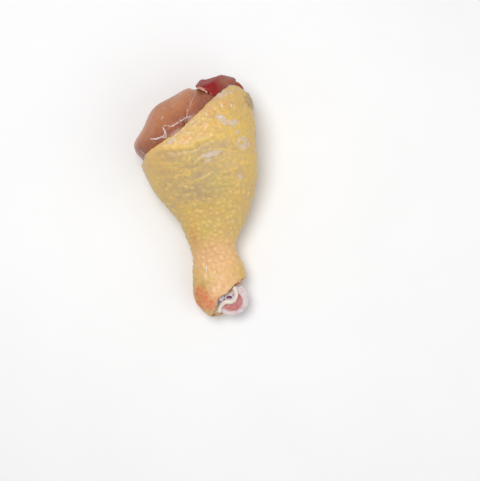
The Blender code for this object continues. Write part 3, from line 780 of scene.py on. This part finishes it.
def strandPieces(meat):
    # each strand is laid straight down onto the meat, and sinks into it where it has a gap
    shades = {name: sinewMaterial(name + " membrane", membrane[name]) for name in ("white", "sheer", "pink")}
    turned = fullTurn(12)
    for number, (width, gaps, shade, places) in enumerate(membrane["strands"], 1):
        places = np.array(places) * mm
        reach = lengthsAlong(places)
        at = np.linspace(0, reach[-1], max(8, round(reach[-1] / membrane["step"])))
        x, y = (through(reach, places[:, k], at) for k in (0, 1))
        wobble = np.stack([at, at * 0 + number * 3 * mm, at * 0], axis=-1)
        x, y = x + 0.2 * mm * grain(wobble, 1.1 * mm), y + 0.2 * mm * grain(wobble, 1.1 * mm, offset=4.0)
        hits = [meat.ray_cast(Vector((a, b, 0.1)), Vector((0, 0, -1))) for a, b in zip(x, y)]
        found = [k for k, hit in enumerate(hits) if hit[0]]
        at, wobble = at[found], wobble[found]
        centres, normals = (np.array([hits[k][part] for k in found]) for part in (0, 1))
        tangents = np.gradient(centres, axis=0)
        tangents /= np.linalg.norm(tangents, axis=1)[:, None]
        ends = np.sqrt(np.clip(np.sin(math.pi * (at / at[-1] * 0.96 + 0.02)), 0, 1) * 0.9 + 0.1)
        thick = 1 + 0.6 * grain(wobble, 1.6 * mm, offset=8.0)
        torn = gaps * ease(-grain(wobble, 0.8 * mm, offset=2.0), -0.05, 0.2)
        radius = width * mm * ends * thick * (1 - 0.9 * torn)
        rings = []
        for centre, normal, tangent, r in zip(centres, normals, tangents, radius):
            wide = np.cross(normal, tangent)
            wide /= np.linalg.norm(wide)
            tall = np.cross(tangent, wide) * membrane["flatness"]
            rings.append(centre + r * oval(turned, wide, tall))
        name = f"membrane_strand_{number}"
        addPiece(name, loft(name, rings, closed=False), shades[shade], "sinew")
    print("membrane strands:", len(membrane["strands"]))


def musclePieces():
    corners, faces = [], []
    for name, shape in muscles["shapes"].items():
        start = len(corners)
        mesh = muscleMesh(name + "_meat", *shape)
        points = pointsOf(mesh)
        y = points[:, 1]
        angle = np.arctan2(points[:, 2] - axisHeight(y), points[:, 0])
        past = y - around(kneeCut, angle)
        bare = ease(past, 0.5 * mm, 3 * mm)
        normals = np.empty(len(points) * 3, np.float32)
        mesh.vertex_normals.foreach_get("vector", normals)
        fibres = grain(points, 1.1 * mm, (1.0, 7.0, 1.0)) + grain(points, 3.2 * mm, (1.4, 3.0, 1.4), 5.0)
        dent = muscles["fibreDepth"] * bare * (np.clip(fibres, -1, 1) - 1) / 2
        moved = points + normals.reshape(-1, 3) * dent[:, None]
        for place, reach, push in muscles["pushes"]:
            away = np.hypot(points[:, 0] - place[0] * mm, y - place[1] * mm) / (reach * mm)
            share = np.exp(-(away**2)) * ease(past, 0.3 * mm, 2.5 * mm)
            moved += share[:, None] * np.array([*push, 0]) * mm
        mesh.vertices.foreach_set("co", moved.ravel().astype(np.float32))
        red = name == "red_muscle"
        shade = ease(points[:, 0], 11 * mm, 21 * mm) if red else ease(-past, -16 * mm, -1 * mm)
        paint(mesh, "nearSkin", shade)
        addPiece(name + "_meat", mesh, meatMaterial(name, red), "red_meat" if red else "meat", name)
        corners += moved.tolist()
        faces += [[start + v for v in face.vertices] for face in mesh.polygons]
    print("muscles:", len(muscles["shapes"]))
    return BVHTree.FromPolygons(corners, faces)


def stripPiece():
    # red meat that shows past the skin's edge on the shin side
    places = np.array(muscles["strip"]) * mm
    at = np.linspace(0, 1, 60)
    stations = np.linspace(0, 1, len(places))
    centres = np.stack([through(stations, places[:, k], at) for k in range(3)], axis=-1)
    tangents = np.gradient(centres, axis=0)
    turned = fullTurn(40)
    wide, tall = muscles["stripSize"]
    rings = []
    for share, centre, tangent in zip(at, centres, tangents):
        across = np.cross(tangent, (0, 0, 1))
        across /= np.linalg.norm(across)
        size = math.sqrt(max(math.sin(math.pi * (0.02 + 0.96 * share)), 0.02))
        ring = oval(turned, across * wide, np.array([0, 0, tall]))
        rings.append(centre + size * ring * (1 + 0.12 * grain(centre + ring, 2.5 * mm))[:, None])
    mesh = loft("red_meat_strip", rings, closed=False)
    paint(mesh, "nearSkin", np.full(len(mesh.vertices), 0.6))
    addPiece("red_meat_strip", mesh, meatMaterial("red strip", True), "red_meat")
    print("red strip")


def meatMaterial(name, red):
    material, tree, shader = newMaterial(name.replace("_", " "), 0.34, 0.35, 0.22, (1.0, 0.3, 0.15), 0.05)
    fibres = texture(tree, 0.55 * mm, 3, (1, 9, 1))
    cloudy = texture(tree, 6 * mm, 3, (1, 1.8, 1))
    light, dark = ("darkRed", "darkBrown") if red else ("pink", "brown")
    shade = sums(tree, "ADD", painted(tree, "nearSkin"), span(tree, cloudy, 0.3, 0.75, -0.25, 0.25))
    colour = blended(tree, shade, muscles[light], muscles[dark])
    silvery = span(tree, fibres, 0.45, 0.75, 0, 0.01 if red else 0.1)
    colour = blended(tree, silvery, colour, muscles["silver"])
    rough = span(tree, cloudy, 0.3, 0.7, 0.24, 0.42)
    finishMaterial(tree, shader, colour, rough, (cloudy, 0.3 * mm, 0.3), (fibres, 0.07 * mm, 0.5))
    return material


# The ankle joint, cut by a slanted blade
ankle = {
    "centre": Vector((4.4, -51.9, 10.2)) * mm,
    "radius": 8.6 * mm,
    "halfHeight": 7.5 * mm,
    "squareness": 2.5,
    "coreRadius": 6.7 * mm,
    "coreHalfHeight": 5.4 * mm,
    "bladeHeight": 3.6 * mm,
    "bladeNormal": Vector((-0.10, -0.24, 0.96)).normalized(),
    "steps": 128,
    "wallRows": 30,
    "faceRows": 26,
    "gristle": (0.74, 0.62, 0.62),
    "gristleShade": (0.52, 0.36, 0.42),
    "rimDent": 0.22 * mm,
    "tendonHalfWidth": 1.1 * mm,
    "tendonHalfHeight": 0.8 * mm,
    "tendonRoute": [(2.6, 7.0), (2.9, 5.6), (3.1, 3.7), (2.5, 1.7), (1.1, 0.0), (-0.9, -0.4),
                    (-3.1, -0.1), (-5.2, -1.4), (-6.5, -3.1), (-6.8, -4.6)],
    "tendonTip": 0.66 * mm,
    "tendonCream": (0.79, 0.70, 0.62),
    "veinCentre": (-0.7 * mm, 2.1 * mm),
    "veinRadius": 1.8 * mm,
    "veinHole": 1.15 * mm,
    "veinHeight": 0.9 * mm,
    "veinShoulder": 0.7 * mm,
    "veinFloor": 0.25 * mm,
    "veinOval": (1.3, 0.8),
    "veinWall": (0.72, 0.60, 0.62),
    "veinPurple": (0.14, 0.035, 0.11),
    "veinGlow": (0.24, 0.08, 0.20),
    "veinLip": 0.12 * mm,
    "tissueStart": -21.5 * mm,
    "tissueShort": 0.3 * mm,
    "tissueGap": 0.15 * mm,
    "tissueTaper": 8 * mm,
    "tissueBeige": (0.66, 0.50, 0.42),
    "tissueRed": (0.42, 0.13, 0.08),
    "paleFace": (0.70, 0.52, 0.50),
    "scraps": [  # place, half sizes, lift, colour
        ((-5.6, 2.7), (2.5, 2.0, 1.1), 0.8, (0.68, 0.59, 0.58)),
        ((-2.9, 4.4), (1.3, 0.8, 0.7), 0.7, (0.46, 0.20, 0.15)),
        ((-0.6, 5.2), (1.2, 0.8, 0.6), 0.6, (0.50, 0.22, 0.15)),
        ((-0.8, 3.9), (2.6, 0.8, 0.6), 0.4, (0.72, 0.64, 0.63)),
        ((-8.4, -3.3), (1.2, 2.2, 1.3), 0.4, (0.72, 0.52, 0.20)),
        ((-8.3, -5.6), (1.7, 1.8, 1.4), -0.5, (0.54, 0.31, 0.16)),
        ((-7.2, -0.6), (0.8, 1.2, 0.8), 0.2, (0.60, 0.36, 0.28)),
        ((4.0, 8.0), (1.6, 0.6, 0.8), -0.3, (0.50, 0.26, 0.18)),
        ((5.6, 9.5), (1.4, 1.0, 1.0), 0.0, (0.54, 0.30, 0.19)),
    ],
}


def bladeFrame():
    # the cut face's middle, the ways across and up it, and the way out of it
    normal = ankle["bladeNormal"]
    side = Vector((1, 0, 0))
    side = (side - normal * side.dot(normal)).normalized()
    middle = ankle["centre"] + normal * ankle["bladeHeight"]
    return [np.array(v) for v in (middle, side, normal.cross(side), normal)]


def drumWall(radius, halfHeight, angle, rows):
    # rings up a rounded drum's wall, each point stopping at the blade
    normal, power = ankle["bladeNormal"], 2 / ankle["squareness"]

    def profile(tilt):
        across = radius * np.maximum(np.cos(tilt), 0) ** power
        up = halfHeight * np.sign(np.sin(tilt)) * np.abs(np.sin(tilt)) ** power
        return across * np.cos(angle), across * np.sin(angle), up

    low, high = np.zeros(angle.shape), np.full(angle.shape, math.pi / 2)
    for _ in range(30):
        middle = (low + high) / 2
        x, y, z = profile(middle)
        over = normal[0] * x + normal[1] * y + normal[2] * z > ankle["bladeHeight"]
        high = np.where(over, middle, high)
        low = np.where(over, low, middle)
    tilts = -math.pi / 2 + (low + math.pi / 2) * np.linspace(0.02, 1, rows)[:, None]
    return np.stack(profile(tilts), axis=-1) + np.array(ankle["centre"])


def towards(ring, shares, middle):
    return [middle + (ring - middle) * share for share in shares]


def boneRing(y, radius, angle):
    axisX, axisZ = boneAxis(y)
    x, z = axisX + radius * np.cos(angle), axisZ + bone["flatness"] * radius * np.sin(angle)
    return np.stack([x, np.full(len(x), float(y)), z], axis=-1)


def shaftRings(grow=0.0):
    angle = fullTurn(bone["segments"])
    return [boneRing(y, through(boneY, boneRadius, y) + grow, angle)
            for y in np.linspace(boneY[0], boneY[-1], bone["rings"])]


def tendonRings(grow=0.0, rows=90, segments=28):
    middle, side, upLeg, normal = bladeFrame()
    route = np.array(ankle["tendonRoute"]) * mm
    reach = lengthsAlong(route)
    at = np.linspace(0, reach[-1], rows)
    across, along = (through(reach, route[:, k], at) for k in (0, 1))
    centres = middle + normal * (ankle["tendonHalfHeight"] + leg["gap"])
    centres = centres + across[:, None] * side + along[:, None] * upLeg
    tangents = np.gradient(centres, axis=0)
    tangents /= np.linalg.norm(tangents, axis=1)[:, None]
    angle = fullTurn(segments)
    rings = []
    for centre, tangent in zip(centres, tangents):
        wide = np.cross(normal, tangent) * (ankle["tendonHalfWidth"] + grow)
        tall = normal * (ankle["tendonHalfHeight"] + grow)
        rings.append(centre + oval(angle, wide, tall))
    tips = []
    for ring, tangent in ((rings[0], -tangents[0]), (rings[-1], tangents[-1])):
        centre, out = ring.mean(axis=0), tangent * (ankle["tendonTip"] + grow)
        turns = np.linspace(0, math.pi / 2, 8, endpoint=False)[1:]
        tips.append([centre + math.cos(t) * (ring - centre) + out * math.sin(t) for t in turns])
    return [*tips[0][::-1], *rings, *tips[1]]


def carve(piece, *tools, operation="DIFFERENCE"):
    # Booleans applied at once, so that only the finished mesh is left
    for tool in tools:
        step = piece.modifiers.new(operation.lower(), "BOOLEAN")
        step.operation = operation
        step.solver = "EXACT"
        step.object = tool
    graph = bpy.context.evaluated_depsgraph_get()
    done = bpy.data.meshes.new_from_object(piece.evaluated_get(graph))
    piece.modifiers.clear()
    piece.data = done
    done.shade_smooth()
    for tool in tools:
        bpy.data.objects.remove(tool)


def helper(name, rings):
    made = bpy.data.objects.new(name, loft(name, rings, closed=False))
    bpy.context.scene.collection.objects.link(made)
    return made


def anklePieces():
    angle = fullTurn(ankle["steps"])
    gap = leg["gap"]
    middle, _, _, normal = bladeFrame()
    outer = drumWall(ankle["radius"], ankle["halfHeight"], angle, ankle["wallRows"])
    hollow = drumWall(ankle["coreRadius"] + gap, ankle["coreHalfHeight"] + gap, angle, ankle["wallRows"])
    shares = np.linspace(0, 1, 10)[1:-1]
    dent = normal * ankle["rimDent"]
    dome = [outer[-1] + (hollow[-1] - outer[-1]) * s + dent * (math.sin(math.pi * s) - 1) for s in shares]
    gristle = loft("joint_gristle", [*outer, *dome, *hollow[::-1]], closed=False)
    piece = addPiece("joint_gristle", gristle, gristleMaterial(), "cartilage", "ankle_cartilage")
    carve(piece, helper("shaft room", shaftRings(gap)))

    core = drumWall(ankle["coreRadius"], ankle["coreHalfHeight"], angle, ankle["wallRows"])
    rings = [*core, *towards(core[-1], np.linspace(1, 0.02, ankle["faceRows"])[1:], middle)]
    for ring in rings[ankle["wallRows"]:]:
        ring -= normal * np.abs(grain(ring, 0.6 * mm))[:, None] * ankle["rimDent"]
    marrow = loft("shin_bone", rings, closed=False)
    points = pointsOf(marrow)
    paint(marrow, "pale", paleShare(points))
    out = np.linalg.norm(np.cross(points - np.array(ankle["centre"]), (0, 0, 1)), axis=1)
    paint(marrow, "rim", ease(out + 0.6 * mm * grain(points, 1.5 * mm), 5.5 * mm, 6.8 * mm))
    piece = addPiece("shin_bone", marrow, boneMaterial(), "bone", "tibia")
    carve(piece, helper("shaft", shaftRings()), operation="UNION")

    tendon = loft("bent_tendon", tendonRings(), closed=False)
    addPiece("bent_tendon", tendon, sinewMaterial("tendon", ankle["tendonCream"]), "sinew", "ankle_tendon")

    veinPiece()
    tissuePiece()
    print("ankle: joint, bone, tendon, vein and tissue")


def paleShare(points):
    # the cut face is pale above the tendon, and red marrow below it
    middle, side, upLeg, _ = bladeFrame()
    across, along = (points - middle) @ side, (points - middle) @ upLeg
    route = np.array(ankle["tendonRoute"][2:])[::-1] * mm
    over = along - np.interp(across, route[:, 0], route[:, 1])
    return ease(over, -0.4 * mm, 0.4 * mm) * ease(-across, -3.9 * mm, -3.1 * mm)


def scrapPieces():
    # bits of tissue and fat left round the cut, places on the cut face
    middle, side, upLeg, normal = bladeFrame()
    turned = fullTurn(48)
    tilts = np.linspace(-math.pi / 2, math.pi / 2, 30)[1:-1]
    for number, (place, size, lift, shade) in enumerate(ankle["scraps"], 1):
        centre = middle + side * place[0] * mm + upLeg * place[1] * mm + normal * lift * mm
        rings = []
        for tilt in tilts:
            flat = oval(turned, side * size[0], upLeg * size[1])
            ring = (flat * math.cos(tilt) + normal * size[2] * math.sin(tilt)) * mm
            rough = 1 + 0.3 * grain(ring, 1.3 * mm, offset=number * 5.3) + 0.12 * grain(ring, 0.5 * mm)
            rings.append(centre + ring * rough[:, None])
        name = f"ankle_scrap_{number}"
        addPiece(name, loft(name, rings, closed=False), sinewMaterial(name, shade), "sinew")
    print("ankle scraps:", len(ankle["scraps"]))


def veinPiece():
    # a short tube with a rounded lip, open at the top
    wall, hole, height = ankle["veinRadius"], ankle["veinHole"], ankle["veinHeight"]
    lip = [(hole + (wall - hole) * (1 - math.cos(t)) / 2, height + ankle["veinLip"] * (math.sin(t) - 1))
           for t in np.linspace(0, math.pi, 9)]
    profile = [(0.02 * mm, 0), (wall * 0.6, 0), (wall, 0), (wall, ankle["veinShoulder"] / 2), *lip[::-1],
               (hole, height / 2), (hole * 0.9, ankle["veinFloor"]), (hole * 0.4, ankle["veinFloor"]),
               (0.02 * mm, ankle["veinFloor"])]
    middle, side, upLeg, normal = bladeFrame()
    wide, tall = ankle["veinOval"]
    across, along = ankle["veinCentre"]
    base = middle + side * across + upLeg * along + normal * leg["gap"]
    turned = fullTurn(64)
    rings = []
    for radius, up in profile:
        rings.append(base + radius * oval(turned, side * wide, upLeg * tall) + normal * up)
    mesh = loft("open_vein", rings, closed=False)
    points = pointsOf(mesh) - base
    out = np.hypot(points @ side / wide, points @ upLeg / tall)
    paint(mesh, "wall", ease(out, hole * 0.95, hole * 1.08))
    addPiece("open_vein", mesh, veinMaterial(), "blood", "vein")


def tissuePiece():
    angle = fullTurn(120)
    full, thin = leg["skinThickness"] + leg["skinGap"], leg["ankleThickness"] + ankle["tissueGap"]
    end = around(ankleCut, angle) + ankle["tissueShort"]
    rings = []
    for y in (end + (ankle["tissueStart"] - end) * s for s in np.linspace(0, 1, 60)):
        rings.append(legPoints(y, angle, thin + (full - thin) * ease(y - end, 0, ankle["tissueTaper"])))
    lip = [legPoints(end, angle, thin + (legRadius(end, angle) - thin) * s)
           for s in (0.9, 0.75, 0.6, 0.45, 0.3, 0.15)]
    mesh = loft("ankle_tissue_fill", [*lip, *rings], closed=False)
    piece = addPiece("ankle_tissue_fill", mesh, tissueMaterial(), "sinew", "ankle_tissue")
    gap = leg["gap"]
    turned = fullTurn(ankle["steps"])
    power = 2 / ankle["squareness"]
    drum = []
    for tilt in np.linspace(-math.pi / 2, math.pi / 2, 40)[1:-1]:
        across = (ankle["radius"] + gap) * math.cos(tilt) ** power
        up = (ankle["halfHeight"] + gap) * math.copysign(abs(math.sin(tilt)) ** power, tilt)
        ring = oval(turned, np.array([across, 0, 0]), np.array([0, across, 0]))
        drum.append(ring + np.array([0, 0, up]) + np.array(ankle["centre"]))
    # with the joint's room first, the Boolean leaves nothing
    carve(piece, helper("shaft room", shaftRings(gap)), helper("tendon room", tendonRings(gap)),
          helper("joint room", drum))
    print("ankle tissue:", len(piece.data.polygons), "faces")


def kneeCapPiece():
    # cartilage over the bone's head, dished in its middle
    angle = fullTurn(96)
    gap = leg["gap"]
    innerY = np.linspace(boneY[-1] + gap, bone["capStart"], 24)
    inside = [boneRing(y, through(boneY, boneRadius, y) + 1.5 * gap, angle) for y in innerY]
    roofRadius = through(boneY, boneRadius, innerY[0]) + 1.5 * gap
    roof = [boneRing(innerY[0], roofRadius * s, angle) for s in (0.1, 0.4, 0.7)]
    tilt = np.linspace(0, math.pi / 2, 26, endpoint=False)
    outerY = bone["capRim"] + (bone["capEnd"] - bone["capRim"]) * np.sin(tilt)
    outside = [boneRing(y, bone["capRadius"] * math.cos(a) ** bone["capSquareness"], angle)
               for y, a in zip(outerY, tilt)]
    outside = [ring for ring in outside if np.ptp(ring[:, 0]) > 2.1 * bone["dishRadius"]]
    lip = [boneRing(bone["capStart"], bone["capRadius"] - bone["capLip"], angle)]
    dish = [boneRing(bone["capEnd"] - bone["dishDepth"] * (1 - s**2), bone["dishRadius"] * s, angle)
            for s in (1, 0.85, 0.7, 0.5, 0.3, 0.1)]
    mesh = loft("knee_gristle", [*roof, *inside, *lip, *outside, *dish], closed=False)
    addPiece("knee_gristle", mesh, gristleMaterial(), "cartilage", "knee_cartilage")
    print("knee cartilage")


def gristleMaterial():
    material, tree, shader = newMaterial("gristle", 0.22, 0.5, 0.35, (0.7, 0.5, 0.5), 0.4)
    cloudy = texture(tree, 4 * mm, 3)
    fine = texture(tree, 0.6 * mm, 3)
    colour = blended(tree, span(tree, cloudy, 0.42, 0.72, 0, 0.6), ankle["gristle"], ankle["gristleShade"])
    rough = span(tree, fine, 0.3, 0.7, 0.18, 0.32)
    finishMaterial(tree, shader, colour, rough, (cloudy, 0.2 * mm, 0.25), (fine, 0.03 * mm, 0.3))
    return material


def boneMaterial():
    material, tree, shader = newMaterial("spongy bone", 0.35, 0.5, 0.3, (1.0, 0.3, 0.25), 0.3)
    spongy = texture(tree, 0.5 * mm, kind="ShaderNodeTexVoronoi")
    cloudy = texture(tree, 3.5 * mm, 3)
    colour = blended(tree, span(tree, cloudy, 0.35, 0.65), bone["marrowPink"], bone["marrowRed"])
    colour = blended(tree, span(tree, spongy, 0.25, 0.7, 0, 0.3), colour, bone["boneWhite"])
    colour = blended(tree, painted(tree, "pale"), colour, ankle["paleFace"])
    colour = blended(tree, painted(tree, "rim"), colour, ankle["gristle"])
    rough = span(tree, cloudy, 0.3, 0.7, 0.28, 0.45)
    finishMaterial(tree, shader, colour, rough, (spongy, 0.1 * mm, 0.5))
    return material


def sinewMaterial(name, colour):
    material, tree, shader = newMaterial(name, 0.28, 0.5, 0.3, (0.8, 0.5, 0.35), 0.3)
    strands = texture(tree, 0.5 * mm, 3, (3, 1, 1))
    shade = tuple(c * 0.72 for c in colour)
    mixed = blended(tree, span(tree, strands, 0.4, 0.75, 0, 0.6), colour, shade)
    rough = span(tree, strands, 0.3, 0.7, 0.22, 0.38)
    finishMaterial(tree, shader, mixed, rough, (strands, 0.06 * mm, 0.5))
    return material


def tissueMaterial():
    material, tree, shader = newMaterial("ankle tissue", 0.32, 0.5, 0.3, (1.0, 0.4, 0.3), 0.3)
    cloudy = texture(tree, 2.2 * mm, 4)
    fine = texture(tree, 0.5 * mm, 3)
    colour = blended(tree, span(tree, cloudy, 0.42, 0.62), ankle["tissueRed"], ankle["tissueBeige"])
    rough = span(tree, fine, 0.3, 0.7, 0.25, 0.42)
    finishMaterial(tree, shader, colour, rough, (cloudy, 0.5 * mm, 0.5), (fine, 0.06 * mm, 0.4))
    return material


def veinMaterial():
    material, tree, shader = newMaterial("vein", 0.2, 0.5, 0.2, (1.0, 0.3, 0.4), 0.5)
    cloudy = texture(tree, 1.2 * mm, 3)
    inside = blended(tree, span(tree, cloudy, 0.4, 0.65), ankle["veinPurple"], ankle["veinGlow"])
    colour = blended(tree, painted(tree, "wall"), inside, ankle["veinWall"])
    rough = span(tree, cloudy, 0.3, 0.7, 0.15, 0.3)
    finishMaterial(tree, shader, colour, rough, (cloudy, 0.08 * mm, 0.4))
    return material


# Short feather stubs that lie on the skin, root and tip in mm seen from above
stubs = {
    "radius": 0.28 * mm,
    "places": [((15.2, 43.9), (14.8, 41.2)), ((19.1, 43.2), (19.8, 41.0)), ((-5.2, -33.3), (-5.7, -36.0))],
    "colour": (0.86, 0.80, 0.70),
}


def topOfLeg(x, y):
    # the angle at which the leg's upper side stands over a place
    angle = np.linspace(0.1, math.pi - 0.1, 400)
    points = legPoints(np.full(400, y), angle, 0)
    best = np.argmin(np.abs(points[:, 0] - x))
    return points[best], np.array([math.cos(angle[best]), 0, math.sin(angle[best])])


def stubPieces():
    material = sinewMaterial("feather stub", stubs["colour"])
    for number, (root, tip) in enumerate(stubs["places"], 1):
        turned = fullTurn(12)
        (start, out), (end, outEnd) = (topOfLeg(x * mm, y * mm) for x, y in (root, tip))
        start, end = start - out * 0.1 * mm, end + outEnd * 0.3 * mm
        way = (end - start) / np.linalg.norm(end - start)
        wide = np.cross(way, out)
        tall = np.cross(wide, way)
        rings = []
        for t in np.linspace(0, 1, 16):
            radius = stubs["radius"] * math.sqrt(max(1 - (2 * t - 1) ** 4, 0.02))
            centre = start + (end - start) * t + tall * 0.3 * mm * math.sin(math.pi * t)
            rings.append(centre + radius * oval(turned, wide, tall))
        addPiece(f"feather_stub_{number}", loft("feather stub", rings, closed=False), material, "sinew")
    print("feather stubs:", len(stubs["places"]))


# Floor, light and camera
studio = {
    "floorSize": 1.6,
    "floorColour": (0.90, 0.90, 0.90),
    "worldColour": (1.0, 1.0, 1.0),
    "worldStrength": 0.42,
    "keyPower": 2.9,
    "keySize": 0.35,
    "keyPlace": Vector((-0.10, 0.14, 0.68)),
    "fillPower": 1.1,
    "fillSize": 0.7,
    "fillPlace": Vector((0.40, -0.30, 0.45)),
    "cameraPlace": Vector((13.35, -23.3, 591.0)) * mm,
    "cameraTurn": -9.3,
    "lens": 85,
    "sensor": 36,
}


def addLight(name, power, size, place):
    light = bpy.data.lights.new(name, "AREA")
    light.energy = power
    light.shape = "DISK"
    light.size = size
    made = bpy.data.objects.new(name, light)
    made.location = place
    made.rotation_euler = (Vector((0, 0, 0.02)) - place).to_track_quat("-Z", "Y").to_euler()
    bpy.context.scene.collection.objects.link(made)


def addStudio():
    half = studio["floorSize"] / 2
    mesh = bpy.data.meshes.new("floor")
    corners = [(-half, -half, 0), (half, -half, 0), (half, half, 0), (-half, half, 0)]
    mesh.from_pydata(corners, [], [(0, 1, 2, 3)])
    floor = bpy.data.objects.new("floor", mesh)
    floor.location.z = -0.05 * mm
    bpy.context.scene.collection.objects.link(floor)
    material, tree, shader = newMaterial("pale floor", 0.6, 0.3)
    shade = span(tree, texture(tree, 60 * mm, 2), 0.3, 0.7, 0, 1)
    paler = tuple(c * 0.985 for c in studio["floorColour"])
    link(tree, blended(tree, shade, studio["floorColour"], paler), shader.inputs["Base Color"])
    mesh.materials.append(material)

    world = bpy.data.worlds.new("soft light")
    world.use_nodes = True
    sky = world.node_tree.nodes["Background"]
    sky.inputs["Color"].default_value = (*studio["worldColour"], 1)
    sky.inputs["Strength"].default_value = studio["worldStrength"]
    bpy.context.scene.world = world
    addLight("key", studio["keyPower"], studio["keySize"], studio["keyPlace"])
    addLight("fill", studio["fillPower"], studio["fillSize"], studio["fillPlace"])

    lens = bpy.data.cameras.new("camera")
    lens.lens = studio["lens"]
    lens.sensor_width = studio["sensor"]
    lens.clip_start = 0.01
    camera = bpy.data.objects.new("camera", lens)
    camera.location = studio["cameraPlace"]
    camera.rotation_euler = (0, 0, math.radians(studio["cameraTurn"]))
    bpy.context.scene.collection.objects.link(camera)
    bpy.context.scene.camera = camera
    bpy.context.scene.view_settings.view_transform = "Standard"
    print("studio")


skinPiece()
strandPieces(musclePieces())
stripPiece()
anklePieces()
scrapPieces()
kneeCapPiece()
stubPieces()
addStudio()
